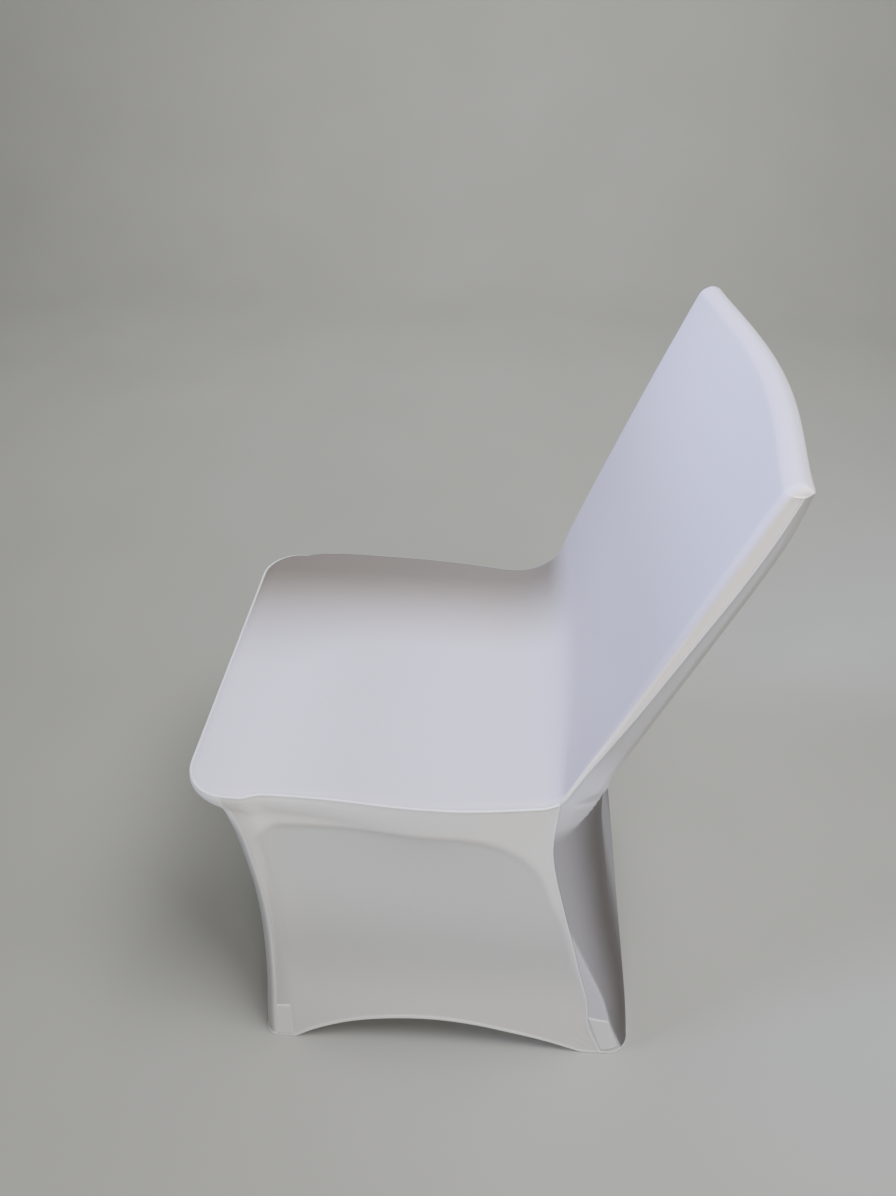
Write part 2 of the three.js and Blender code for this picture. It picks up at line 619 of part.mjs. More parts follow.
// Outline of a cup at a height, drawn in from the panels by a distance
function cupLoop(side, end, z, inset) {
  const front = end === 'front';
  const outX = (front ? frontAt('x', z) : rearAt('seamX', z)) - inset;
  const outY = front ? frontAt('y', z) + inset : rearAt('y', z) - inset;
  const inX = outX - CUP_WIDTH + 2 * (inset - CLOTH - CUP_CLEARANCE);
  const toMiddle = front ? 1 : -1;
  const inY = outY + toMiddle * (CUP_LENGTH[end] - 2 * (inset - CLOTH - CUP_CLEARANCE));
  const rearTurn = rearAt('y', z) - rearAt('seamY', z) - rearAt('flat', z);
  const turnX = front ? frontAt('round', z) : rearAt('round', z);
  const turnY = front ? turnX : rearTurn;
  const tight = front ? CUP_ROUND : CUP_TIGHT_ROUND;
  const corners = [
    { x: outX, y: outY, roundX: turnX - inset, roundY: turnY - inset },
    { x: outX, y: inY, roundX: CUP_ROUND, roundY: CUP_ROUND },
    { x: inX, y: inY, roundX: CUP_ROUND, roundY: CUP_ROUND },
    { x: inX, y: outY, roundX: tight, roundY: tight },
  ];
  const centre = new THREE.Vector2((outX + inX) / 2, (outY + inY) / 2);
  const loop = [];
  corners.forEach(({ x, y, roundX, roundY }, k) => {
    const toX = Math.sign(x - centre.x);
    const toY = Math.sign(y - centre.y);
    for (let n = 0; n <= CUP_CORNER_STEPS; n += 1) {
      const share = n / CUP_CORNER_STEPS;
      const angle = (Math.PI / 2) * (k % 2 === 0 ? share : 1 - share);
      const px = x - toX * roundX * (1 - Math.sin(angle));
      const py = y - toY * roundY * (1 - Math.cos(angle));
      const lean = toX > 0 ? CUP_TAPER * Math.min(Math.abs(py - outY) / CUP_LENGTH[end], 1) : 0;
      loop.push(new THREE.Vector3(side * (px - lean), py, z));
    }
  });
  return loop;
}

// A cup of the same knit, open at the top, with a flat sole on the floor
function cup(side, end) {
  const away = CLOTH + CUP_CLEARANCE;
  const loops = [
    cupLoop(side, end, 0, away),
    cupLoop(side, end, CUP_HEIGHT / 2, away),
    cupLoop(side, end, CUP_HEIGHT, away),
    cupLoop(side, end, CUP_HEIGHT, away + CLOTH),
    cupLoop(side, end, CUP_HEIGHT / 2, away + CLOTH),
    cupLoop(side, end, CLOTH, away + CLOTH),
  ];
  const count = loops[0].length;
  const points = loops.flat();
  const triangles = [];
  for (let level = 0; level + 1 < loops.length; level += 1) {
    for (let k = 0; k < count; k += 1) {
      const next = (k + 1) % count;
      const a = level * count + k;
      const b = level * count + next;
      triangles.push(a, b, b + count, a, b + count, a + count);
    }
  }
  const sumOf = (loop) => loop.reduce((sum, p) => sum.add(p), new THREE.Vector3());
  const middle = (loop) => sumOf(loop).divideScalar(loop.length);
  const sole = points.push(middle(loops[0])) - 1;
  const floor = points.push(middle(loops[loops.length - 1])) - 1;
  const top = (loops.length - 1) * count;
  for (let k = 0; k < count; k += 1) {
    const next = (k + 1) % count;
    triangles.push(sole, next, k);
    triangles.push(floor, top + k, top + next);
  }
  return geometryOf(points, outwardOrder(points, triangles));
}

// Triangles turned round if together they enclose a negative volume
function outwardOrder(points, triangles) {
  let volume = 0;
  for (let k = 0; k < triangles.length; k += 3) {
    const [a, b, c] = [0, 1, 2].map((n) => points[triangles[k + n]]);
    volume += a.dot(b.clone().cross(c));
  }
  return volume > 0 ? triangles : triangles.slice().reverse();
}

// The knit of the panels, and the doubled knit of the cups
const knit = (colour) => new THREE.MeshStandardMaterial({ color: colour, roughness: 0.62, metalness: 0 });
const materials = {
  seat: knit(0xd3d3e0),
  skirt: knit(0xc9c8cb),
  rear: knit(0xbdbcc2),
  cup: knit(0xd8d8d6),
};

// The panels. Each is sewn on three edges, and the first one on all four.
const seatRows = frontRows.slice(CORNER_ROW);
const skirtRows = frontRows.slice(0, CORNER_ROW + 1);
const panels = [
  { name: 'seat_back_panel', rows: seatRows, outward: 1, material: materials.seat, hem: false },
  { name: 'front_skirt', rows: skirtRows, outward: 1, material: materials.skirt, hem: true },
  { name: 'side_skirt_left', rows: sideSkirt(1), outward: 1, material: materials.skirt, hem: true },
  { name: 'side_skirt_right', rows: sideSkirt(-1), outward: -1, material: materials.skirt, hem: true },
  { name: 'rear_panel', rows: rearPanel(), outward: -1, material: materials.rear, hem: true },
];

const cover = new THREE.Group();
cover.name = 'chair_cover';
cover.position.y = -CENTRE_Y;

panels.forEach((panel) => { panel.normals = gridNormals(panel.rows, panel.outward); });
joinNormals(panels);
panels.forEach(({ name, rows, outward, material, hem, normals }) => {
  const mesh = new THREE.Mesh(sheet(trimmed(rows, hem), normals, outward), material);
  mesh.name = name;
  cover.add(mesh);
});

for (const end of ['front', 'rear']) {
  for (const [name, side] of [['left', 1], ['right', -1]]) {
    const mesh = new THREE.Mesh(cup(side, end), materials.cup);
    mesh.name = `foot_cup_${end}_${name}`;
    cover.add(mesh);
  }
}

export default cover;
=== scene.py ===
"""A white stretch-knit cover fitted over a banquet chair, dressed for a plain studio view.

The tables below are in millimetres, with y measured from the crease between seat and back.
Meshes are built in metres. +X is the sitter's left, -Y the front of the seat, z = 0 the floor.
"""

import logging
import math
from dataclasses import dataclass
from enum import Enum

import bmesh
import bpy
import numpy as np
from mathutils import Matrix, Vector
from mathutils.bvhtree import BVHTree


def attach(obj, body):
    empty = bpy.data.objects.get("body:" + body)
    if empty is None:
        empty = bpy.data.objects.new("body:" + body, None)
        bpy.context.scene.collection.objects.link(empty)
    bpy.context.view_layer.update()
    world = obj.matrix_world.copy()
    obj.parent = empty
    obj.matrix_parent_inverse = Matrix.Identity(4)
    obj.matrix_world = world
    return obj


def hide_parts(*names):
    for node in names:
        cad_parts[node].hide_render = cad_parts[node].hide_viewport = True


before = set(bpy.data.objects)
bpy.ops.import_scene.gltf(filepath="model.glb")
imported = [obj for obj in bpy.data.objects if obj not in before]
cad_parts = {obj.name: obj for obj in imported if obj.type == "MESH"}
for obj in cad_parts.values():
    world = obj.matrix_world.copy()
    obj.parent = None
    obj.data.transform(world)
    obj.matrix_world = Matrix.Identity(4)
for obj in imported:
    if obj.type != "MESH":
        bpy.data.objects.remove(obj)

LOG = logging.getLogger("chair_cover")
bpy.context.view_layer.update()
BODY = "root"
MM = 0.001
DIAGONAL = math.sqrt(0.5)
# How far a piece stands off what it lies on, in millimetres
CLEARANCE = 0.05


# Small numeric helpers


def smoothstep(value: np.ndarray | float, low: float, high: float) -> np.ndarray:
    """Return 0 below low, 1 above high, and a smooth rise between them."""
    share = np.clip((np.asarray(value, float) - low) / (high - low), 0.0, 1.0)
    return share * share * (3.0 - 2.0 * share)


def lerp(start: np.ndarray | float, end: np.ndarray | float, share: np.ndarray | float) -> np.ndarray:
    """Return the value at a share of the way from start to end."""
    return np.asarray(start, float) * (1.0 - share) + np.asarray(end, float) * share


def unit(vectors: np.ndarray) -> np.ndarray:
    """Return the vectors scaled to length one."""
    return vectors / np.maximum(np.linalg.norm(vectors, axis=-1, keepdims=True), 1e-12)


@dataclass(frozen=True)
class Table:
    """A table with named columns, read smoothly along its first column."""

    columns: tuple[str, ...]
    rows: tuple[tuple[float, ...], ...]

    def column(self, name: str) -> np.ndarray:
        """Return one column as an array."""
        return np.array([row[self.columns.index(name)] for row in self.rows], float)

    def at(self, name: str, place: np.ndarray | float) -> np.ndarray:
        """Read a column at places along the first one.

        Args:
            name: The column to read.
            place: Values of the first column; they are kept inside the table.

        Returns:
            The column's smooth value at each place.
        """
        keys = self.column(self.columns[0])
        values = self.column(name)
        at = np.clip(np.asarray(place, float), keys[0], keys[-1])
        i = np.clip(np.searchsorted(keys, at, side="left") - 1, 0, len(keys) - 2)
        below = np.maximum(np.arange(len(keys)) - 1, 0)
        above = np.minimum(np.arange(len(keys)) + 1, len(keys) - 1)
        slopes = (values[above] - values[below]) / (keys[above] - keys[below])
        width = keys[i + 1] - keys[i]
        t = (at - keys[i]) / width
        rise = t * t * (3 - 2 * t)
        leave = t * (1 - t) ** 2 * width * slopes[i]
        arrive = t * t * (t - 1) * width * slopes[i + 1]
        return values[i] + (values[i + 1] - values[i]) * rise + leave + arrive


# Sizes of the cover


@dataclass(frozen=True)
class SeatSizes:
    """Sizes of the seat's face and rim, in millimetres."""

    top: float = 471.0
    crown: float = 6.0
    crown_power: float = 0.7
    corner_share: float = 0.2
    corner_power: float = 6.0
    edge_round: float = 10.0
    edge_drop: float = 4.8
    rim_bulge: float = 0.2
    rim_depth: float = 34.0
    rim_end_share: float = 0.12
    bridge_edge_share: float = 0.06


@dataclass(frozen=True)
class BackSizes:
    """Sizes of the back, in millimetres and degrees."""

    crease_y: float = -1.6
    lean: float = 19.0
    shoulder: float = 846.0
    half_low: float = 195.5
    half_high: float = 207.0
    edge_round: float = 7.0
    rear_edge_round: float = 9.0
    bow: float = 20.0
    bow_low: float = 0.3
    bow_power: float = 1.5
    pull: float = 9.0
    pull_start: float = 0.2
    pull_loss: float = 0.7
    rear_turn_end: float = 500.0
    rear_turn_round: float = 24.0
    rear_turn_depth: float = 35.0
    rear_top_row: float = 826.0
    bridge_drop_full: float = 0.25
    bridge_depth_full: float = 0.75


@dataclass(frozen=True)
class SkirtSizes:
    """Sizes of the skirt and its hems, in millimetres."""

    top: float = 436.0
    crease: float = 472.0
    crease_approach: float = 60.0
    side_hollow: float = 5.0
    side_hollow_power: float = 0.6
    side_hollow_rim_power: float = 2.2
    side_hem_front: float = -308.0
    side_hem_rear: float = 66.0
    front_hem_half: float = 184.0
    front_hem_rise: float = 62.0
    rear_hem_half: float = 160.0
    rear_hem_rise: float = 52.0
    arch_power: float = 2.6
    step_depth: float = 3.0
    step_width: float = 12.0
    step_top: float = 422.0
    step_front_margin: float = 15.0
    step_front_low: float = 220.0
    step_front_high: float = 380.0
    step_rear_margin: float = 8.0
    step_rear_low: float = 250.0
    step_rear_high: float = 330.0
    step_front_round: float = 46.0
    step_rear_round: float = 95.0
    step_fade_low: float = 80.0
    step_fade_high: float = 220.0
    rear_bow_start: float = 400.0


@dataclass(frozen=True)
class FoldSizes:
    """Sizes of the fold under each crease corner and of the edge of the leg below it, in millimetres."""

    depth: float = 4.6
    soft_rear: float = 14.0
    soft_seam: float = 34.0
    top_seam: float = 440.0
    top_rear: float = 484.0
    end: float = 150.0
    end_share: float = 0.2
    power: float = 0.9
    top_span: tuple[float, float] = (0.1, 0.75)
    soft_span: tuple[float, float] = (0.55, 1.0)
    leg_top: float = 275.0
    leg_fall: float = 445.0
    leg_soft: float = 30.0


@dataclass(frozen=True)
class ClothSizes:
    """Sizes of the knit, its hems and its seams, in millimetres."""

    thickness: float = 1.4
    gap: float = 0.12
    hem_width: float = 5.5
    hem_soft: float = 0.5
    hem_raise: float = 0.45
    origin_y: float = 107.0


@dataclass(frozen=True)
class PaintedLightSizes:
    """How strongly the painted shade and the painted warm light show on the knit, as shares, and where they
    do.

    A span says where a change begins and ends: in millimetres for far, warm, seat, low and top
    ones, and as a share of the way across the flat middle or round the edge for the others.
    """

    far_seat: float = 1.0
    far_span: tuple[float, float] = (-40.0, 190.0)
    warm_seat: float = 0.25
    warm_span: tuple[float, float] = (520.0, 830.0)
    seat: float = 0.2
    seat_span: tuple[float, float] = (-330.0, -200.0)
    low_back: float = 0.45
    low_back_span: tuple[float, float] = (-860.0, -620.0)
    crease_rows: float = 2.0
    band_span: tuple[float, float] = (0.3, 0.55)
    front: float = 0.6
    front_middle: float = 0.2
    front_span: tuple[float, float] = (0.5, 1.0)
    front_top_span: tuple[float, float] = (-440.0, -400.0)
    corner_span: tuple[float, float] = (0.6, 1.05)
    step: float = 0.16
    corner: float = 0.2
    corner_low_span: tuple[float, float] = (-44.0, -12.0)
    low_side: float = 0.22
    low_side_span: tuple[float, float] = (-330.0, -120.0)
    wrap: float = 0.95
    seam_share: float = 0.55
    seam_span: tuple[float, float] = (0.2, 1.0)
    leg: float = 0.1
    middle_share: float = 0.55
    middle_soft: float = 180.0
    middle_span: tuple[float, float] = (0.2, 1.0)
    back_wrap: float = 0.4
    back_low_span: tuple[float, float] = (500.0, 570.0)
    back_wrap_span: tuple[float, float] = (0.0, 0.4)


SKIRT = Table(
    ("z", "front_y", "front_x", "front_round", "seam_x", "seam_y", "rear_y", "flat", "rear_round"),
    (
        (0, -347.5, 222, 16, 213, 91, 126, 8, 26),
        (60, -342, 220, 15, 210, 69, 118, 22, 30),
        (120, -335.5, 218, 14, 207, 60, 108, 15, 42),
        (180, -331.5, 215.5, 14, 204.5, 45, 94, 11, 50),
        (240, -329, 213, 14, 202, 31, 79, 5, 56),
        (300, -330, 210.5, 14, 200, 16.5, 67.5, 0, 60),
        (360, -335.5, 208, 14, 198, 3, 57, 0, 60),
        (400, -341, 207, 15, 197, -3, 52, 0, 58),
        (436, -350, 206, 16, 196, -4.4, 48.5, 0, 48),
        (472, -350, 206, 16, 195.6, -4, 45, 14, 24),
    ),
)
RIM = Table(
    ("row", "y", "z", "half", "round", "back", "drop"),
    (
        (0, -363, 444, 206.5, 26, 27, 0),
        (1, -378, 451.5, 208.5, 36, 38, 0.5),
        (2, -385, 457.5, 209.5, 43, 43.5, 0.5),
        (3, -386.5, 462, 209.7, 45, 45, 0),
        (4, -384.5, 466.5, 208.5, 45, 44, 0),
        (5, -379, 469.4, 208.5, 45, 44, 3),
        (6, -370, 470.8, 208.5, 44, 41, 4.4),
        (7, -356, 471, 208.4, 40, 34, 4.7),
    ),
)
RIM_SEAM = 4
SEAT = Table(
    ("y", "left", "right"),
    (
        (-345, 208.4, 209),
        (-310, 203, 214.5),
        (-280, 202, 217),
        (-220, 203.5, 215.5),
        (-165, 207.5, 212.5),
        (-110, 208, 207),
        (-70, 205, 201),
        (-30, 199.5, 197),
        (0, 196, 196),
    ),
)
SEAT_SHARES = (0.1, 0.2, 0.3, 0.4, 0.5, 0.6, 0.7, 0.8, 0.9)
BRIDGE = Table(
    ("across", "radius"),
    ((-1, 85), (-0.5, 84), (0, 74), (0.5, 54), (0.85, 32), (1, 24)),
)
BRIDGE_SHARES = (0, 0.25, 0.5, 0.75, 1)
BACK = Table(
    ("z", "seam", "depth"),
    (
        (472, 4, 46),
        (508, 4.5, 35),
        (544, 7, 34),
        (586, 11, 34),
        (643, 14, 34),
        (696, 16.5, 34),
        (743, 18.5, 34),
        (781, 19.5, 33.5),
        (820, 18.5, 30.5),
        (846, 16.5, 24.5),
    ),
)
BACK_SHARES = (0.1, 0.22, 0.36, 0.5, 0.64, 0.77, 0.89, 1)
TOP = Table(
    ("row", "y", "z", "end_y", "end_z", "outside"),
    (
        (1, 3, 5, 17.6, 1.3, 832),
        (2, 8, 8.6, 18.8, 2.5, 838),
        (3, 13, 10, 20, 3.6, 843),
        (4, 18, 9, 21.1, 4.6, 848),
        (5, 22, 6.4, 22, 5.5, 852),
    ),
)
SIDE_HEM = Table(
    ("along", "rise"),
    ((0, 0), (0.075, 23), (0.2, 48), (0.34, 61), (0.48, 64), (0.61, 57), (0.74, 42), (0.87, 24), (1, 0)),
)
SKIRT_SHARES = (0, 0.06, 0.14, 0.24, 0.35, 0.47, 0.59, 0.71, 0.82, 0.92, 1)

# How finely the middle and each edge are drawn across, and each stretch between two rows of
# the tables along: the first stretch is the hem
COLUMN_STEPS = 24
HEM_STEPS = (0, 0.06, 0.12, 0.18, 0.215, 0.25, 0.36, 0.5, 0.66, 0.83)
SKIRT_STEPS = 7
RIM_STEPS = 4
SEAT_STEPS = 6
BRIDGE_STEPS = 6
BACK_STEPS = 8
TOP_STEPS = 4


@dataclass(frozen=True)
class Columns:
    """Columns of a panel, from its right edge (-1) to its left one (+1).

    Attributes:
        side: Side of each column.
        flat: How far it lies across the flat middle, 0 to 1.
        edge: How far it lies round the edge, 0 to 1.
    """

    side: np.ndarray
    flat: np.ndarray
    edge: np.ndarray

    @staticmethod
    def spread(middle: int, edges: int) -> "Columns":
        """Return columns with so many steps in each half of the middle and round each edge.

        Args:
            middle: Steps in each half of the middle.
            edges: Steps round each edge.

        Returns:
            The columns, from the right edge to the left one.
        """
        flat = np.concatenate([np.linspace(0, 1, middle + 1), np.ones(edges)])
        edge = np.concatenate([np.zeros(middle + 1), np.linspace(0, 1, edges + 1)[1:]])
        side = np.ones_like(flat)
        return Columns(
            np.concatenate([-side[:0:-1], side]),
            np.concatenate([flat[:0:-1], flat]),
            np.concatenate([edge[:0:-1], edge]),
        )

    def across(self, half: np.ndarray | float, turn: np.ndarray | float, inset: np.ndarray) -> np.ndarray:
        """Return x for a half width, the radius of its edge, and the inset round that edge."""
        return self.side * (self.flat * (half - turn) + np.where(self.flat >= 1, turn - inset, 0.0))


def edge_place(
    edge: np.ndarray, turn: np.ndarray | float, depth: np.ndarray | float, flat: np.ndarray | float
) -> tuple[np.ndarray, np.ndarray]:
    """Place columns round an edge, a quarter ellipse with a flat strip after it.

    Args:
        edge: How far round the edge, 0 to 1.
        turn: Radius of the edge across.
        depth: Depth of the whole edge behind the face.
        flat: Length of the flat strip in that depth.

    Returns:
        How far in from the outermost width each column lies, and how far behind the face.
    """
    deep = np.maximum(np.asarray(depth, float) - flat, 0.0)
    arc = np.maximum(math.pi / 4 * (turn + deep), 1e-6)
    along = edge * (arc + flat)
    angle = np.clip(along / arc, 0, 1) * math.pi / 2
    past = np.maximum(along - arc, 0.0)
    return turn * (1 - np.sin(angle)), deep * (1 - np.cos(angle)) + past


@dataclass
class Grid:
    """One panel as rows and columns of points on its outer face.

    Attributes:
        name: Name of the panel and of the CAD node that it stands for.
        points: Points in millimetres, rows by columns by xyz.
        outward: +1 or -1, so that the normals face away from the chair.
        hem: Whether the first row is an open hem, and not a seam.
        thin: How much painted shade darkens the knit there, 0 to 1.
        cream: How much painted warm light lifts the knit toward a creamy white there, 0 to 1.
        normals: Outward normals, filled in once all the panels are known.
    """

    name: str
    points: np.ndarray
    outward: int
    hem: bool
    thin: np.ndarray
    cream: np.ndarray
    normals: np.ndarray | None = None

    def own_normals(self) -> np.ndarray:
        """Return normals from the differences between neighbouring points.

        Returns:
            One unit vector for each point.
        """
        along = np.gradient(self.points, axis=0)
        across = np.gradient(self.points, axis=1)
        return unit(np.cross(across, along) * self.outward)

    def distance_from(self, axis: int, last: bool) -> np.ndarray:
        """Return each point's distance along the grid from its first or last row or column.

        Args:
            axis: 0 to go along the columns, 1 to go along the rows.
            last: Whether to start at the last row or column.

        Returns:
            The distances in millimetres, rows by columns.
        """
        steps = np.linalg.norm(np.diff(self.points, axis=axis), axis=-1)
        if last:
            steps = np.flip(steps, axis=axis)
        start = np.zeros_like(np.take(steps, [0], axis=axis))
        total = np.concatenate([start, np.cumsum(steps, axis=axis)], axis=axis)
        return np.flip(total, axis=axis) if last else total

    def line_at(self, axis: int, last: bool, distance: float, lift: float = 0.0) -> np.ndarray:
        """Return a line on the cloth that keeps one distance from an edge.

        Args:
            axis: 0 for the first or last row, 1 for the first or last column.
            last: Whether the edge is the last one.
            distance: Distance from that edge, in millimetres.
            lift: How far the line lies off the cloth's face.

        Returns:
            The points of the line, in millimetres.
        """
        away = self.distance_from(axis, last)
        points = self.points + self.normals * lift
        if axis == 0:
            away, points = away.T, np.swapaxes(points, 0, 1)
        if last:
            away, points = away[:, ::-1], points[:, ::-1]
        found = [
            [np.interp(distance, row_away, row_points[:, k]) for k in range(3)]
            for row_away, row_points in zip(away, points)
        ]
        return np.array(found)


class CoverForm:
    """Works out the outer face of every panel from the tables."""

    def __init__(
        self, seat: SeatSizes, back: BackSizes, skirt: SkirtSizes, fold: FoldSizes, cloth: ClothSizes
    ) -> None:
        """Keep the sizes and lay out the rows of the front, from the hem to the top of the back.

        Args:
            seat: Sizes of the seat.
            back: Sizes of the back.
            skirt: Sizes of the skirt.
            fold: Sizes of the fold under each crease corner.
            cloth: Sizes of the knit.
        """
        self.seat = seat
        self.back = back
        self.skirt = skirt
        self.fold = fold
        self.cloth = cloth
        self.tint = PaintedLightSizes()
        self.columns = Columns.spread(COLUMN_STEPS, COLUMN_STEPS)
        self.corner_row = len(SKIRT_SHARES) + RIM_SEAM
        self.bridge_start = len(SKIRT_SHARES) + len(RIM.rows) + len(SEAT_SHARES)
        self.crease_row = self.bridge_start + (len(BRIDGE_SHARES) - 1) // 2
        self.row_count = self.bridge_start + len(BRIDGE_SHARES) + len(BACK_SHARES) + len(TOP.rows)
        self.shoulder_row = self.row_count - 1 - len(TOP.rows)
        self.index = self._row_places()
        self.front = self._drawn(self._control_rows())

    def _row_places(self) -> np.ndarray:
        """Return the places of the drawn rows, counted in rows of the tables.

        Returns:
            Rising places, from 0 to the last row of the tables.
        """
        steps = [SKIRT_STEPS] * (len(SKIRT_SHARES) - 1)
        steps += [RIM_STEPS] * len(RIM.rows)
        steps += [SEAT_STEPS] * (len(SEAT_SHARES) + 1)
        steps += [BRIDGE_STEPS] * (len(BRIDGE_SHARES) - 1)
        steps += [BACK_STEPS] * len(BACK_SHARES)
        steps += [TOP_STEPS] * len(TOP.rows)
        places = list(HEM_STEPS)
        for start, count in enumerate(steps[1:], start=1):
            places += [start + k / count for k in range(count)]
        return np.array(places + [float(self.row_count - 1)])

    def _drawn(self, rows: np.ndarray) -> np.ndarray:
        """Return the rows drawn smoothly at every place of the index.

        Args:
            rows: The rows that the tables give.

        Returns:
            The drawn rows, smooth through every given one.
        """
        chord = np.linalg.norm(np.diff(rows, axis=0), axis=-1).mean(axis=1)
        keys = np.concatenate([[0.0], np.cumsum(np.sqrt(chord))])
        below = np.maximum(np.arange(len(keys)) - 1, 0)
        above = np.minimum(np.arange(len(keys)) + 1, len(keys) - 1)
        slopes = (rows[above] - rows[below]) / (keys[above] - keys[below])[:, None, None]
        i = np.minimum(self.index.astype(int), len(keys) - 2)
        t = (self.index - i)[:, None, None]
        width = (keys[i + 1] - keys[i])[:, None, None]
        rise = t * t * (3 - 2 * t)
        leave = t * (1 - t) ** 2 * width * slopes[i]
        arrive = t * t * (t - 1) * width * slopes[i + 1]
        return rows[i] + (rows[i + 1] - rows[i]) * rise + leave + arrive

    def row_of(self, place: float) -> int:
        """Return the drawn row that lies at a row of the tables."""
        return int(np.argmin(np.abs(self.index - place)))

    def back_half(self, z: np.ndarray | float) -> np.ndarray:
        """Return the half width of the back at a height."""
        share = (np.asarray(z, float) - self.skirt.crease) / (self.back.shoulder - self.skirt.crease)
        return lerp(self.back.half_low, self.back.half_high, share)

    def back_plane(self, z: np.ndarray | float) -> np.ndarray:
        """Return y of the back's plane at a height."""
        return self.back.crease_y + (z - self.seat.top) * math.tan(math.radians(self.back.lean))

    def back_shape(self, x: np.ndarray, z: np.ndarray | float) -> np.ndarray:
        """Return the extra depth of the back at a point: its bow, less the pull on its right edge.

        Args:
            x: Place across.
            z: Height.

        Returns:
            The depth in millimetres, to the rear.
        """
        across = np.clip(x / self.back_half(z), -1, 1)
        up = np.clip((z - self.seat.top) / (self.back.shoulder - self.seat.top), 0, 1)
        bow = self.back.bow * lerp(self.back.bow_low, 1, up * up) * (1 - across**2) ** self.back.bow_power
        strength = smoothstep(up, 0, self.back.pull_start) * (1 - self.back.pull_loss * up**3)
        return bow - self.back.pull * ((1 - across) / 2) ** 3 * strength

    def arch(self, x: np.ndarray, half: float) -> np.ndarray:
        """Return the height of an arched hem at x, as a share of its rise."""
        across = np.clip(np.abs(x) / half, 0, 1)
        return np.sqrt(1 - across**self.skirt.arch_power)

    def _seat_half(self, y: np.ndarray) -> np.ndarray:
        """Return the half width of the seat at y, for the side of each column."""
        return np.where(self.columns.side > 0, SEAT.at("left", y), SEAT.at("right", y))

    def _drop_share(self, inset: np.ndarray, turn: float) -> np.ndarray:
        """Return how much of a drop is reached at a distance in from the outermost width."""
        reach = np.clip(1 - inset / turn, 0, 1)
        return 1 - np.sqrt(1 - reach * reach)

    def _skirt_row(self, share: float) -> np.ndarray:
        """Return one row of the front skirt.

        Args:
            share: How far up the skirt the row lies, 0 to 1.

        Returns:
            The points of the row.
        """
        c = self.columns
        seam_z = self.skirt.top * share
        half = SKIRT.at("front_x", seam_z)
        turn = SKIRT.at("front_round", seam_z)
        inset, deep = edge_place(c.edge, turn, turn, 0.0)
        x = c.across(half, turn, inset)
        hem = self.skirt.front_hem_rise * self.arch(x, self.skirt.front_hem_half)
        z = lerp(hem, self.skirt.top, share)
        return np.stack([x, SKIRT.at("front_y", z) + deep, z], axis=-1)

    def _rim_row(self, row: int) -> np.ndarray:
        """Return one row round the front rim of the seat.

        Args:
            row: Row of the rim's table.

        Returns:
            The points of the row.
        """
        c = self.columns
        y, z, half, turn, back, drop = (RIM.column(name)[row] for name in RIM.columns[1:])
        inset, deep = edge_place(c.edge, turn, back, 0.0)
        fall = drop * self._drop_share(inset, self.seat.edge_round)
        return np.stack([c.across(half, turn, inset), y + deep, z - fall], axis=-1)

    def _bridge(self) -> tuple[np.ndarray, float, np.ndarray]:
        """Return the radius, angle and reach of the bridge over the crease, for each column.

        Returns:
            The radii, the angle that every column turns by, and how far each arc reaches.
        """
        across = self.columns.side * lerp(self.columns.flat, self.columns.edge, self.seat.bridge_edge_share)
        radius = BRIDGE.at("radius", across)
        angle = math.radians(90 - self.back.lean)
        return radius, angle, radius * math.tan(angle / 2)

    def _seat_row(self, share: float) -> np.ndarray:
        """Return one row of the seat, at a share of the way from the rim to the bridge.

        Args:
            share: That share, 0 to 1.

        Returns:
            The points of the row.
        """
        c, seat = self.columns, self.seat
        first_y, first_turn, first_back = (RIM.column(name)[-1] for name in ("y", "round", "back"))
        turn = lerp(first_turn, seat.edge_round, min(share / seat.corner_share, 1))
        inset, deep = edge_place(c.edge, turn, first_back * (1 - share) ** seat.corner_power, 0.0)
        reach = self._bridge()[2]
        y = lerp(first_y, self.back.crease_y - reach, share) + deep
        half = self._seat_half(y)
        x = c.across(half, turn, inset)
        fall = seat.edge_drop * self._drop_share(inset, seat.edge_round)
        middle = (1 - (x / half) ** 2) * math.sin(math.pi * share) ** seat.crown_power
        return np.stack([x, y, seat.top - fall + seat.crown * middle], axis=-1)

    def _bridge_row(self, share: float) -> np.ndarray:
        """Return one row of the bridge, from the seat (0) to the back (1).

        Args:
            share: How far round the bridge the row lies.

        Returns:
            The points of the row.
        """
        c, seat, back = self.columns, self.seat, self.back
        radius, angle, reach = self._bridge()
        y = back.crease_y - reach + radius * math.sin(share * angle)
        z = seat.top + radius * (1 - math.cos(share * angle))
        half = lerp(self._seat_half(y), self.back_half(z), share)
        turn = lerp(seat.edge_round, back.edge_round, share)
        depth = BACK.at("seam", z) * smoothstep(share, 0, back.bridge_depth_full)
        inset, deep = edge_place(c.edge, turn, depth, np.maximum(depth - turn, 0))
        x = c.across(half, turn, inset)
        drop = seat.edge_drop * (1 - smoothstep(share, back.bridge_drop_full, 1))
        fall = drop * self._drop_share(inset, seat.edge_round)
        return np.stack([x, y + deep + self.back_shape(x, z) * share, z - fall], axis=-1)

    def _back_row(self, share: float) -> np.ndarray:
        """Return one row of the inside of the back, with the side bands.

        Args:
            share: How far up from the bridge to the shoulder the row lies.

        Returns:
            The points of the row.
        """
        c, back = self.columns, self.back
        radius, angle, _ = self._bridge()
        z = lerp(self.seat.top + radius * (1 - math.cos(angle)), back.shoulder, share)
        depth = BACK.at("seam", z)
        inset, deep = edge_place(c.edge, back.edge_round, depth, np.maximum(depth - back.edge_round, 0))
        x = c.across(self.back_half(z), back.edge_round, inset)
        return np.stack([x, self.back_plane(z) + deep + self.back_shape(x, z), z], axis=-1)

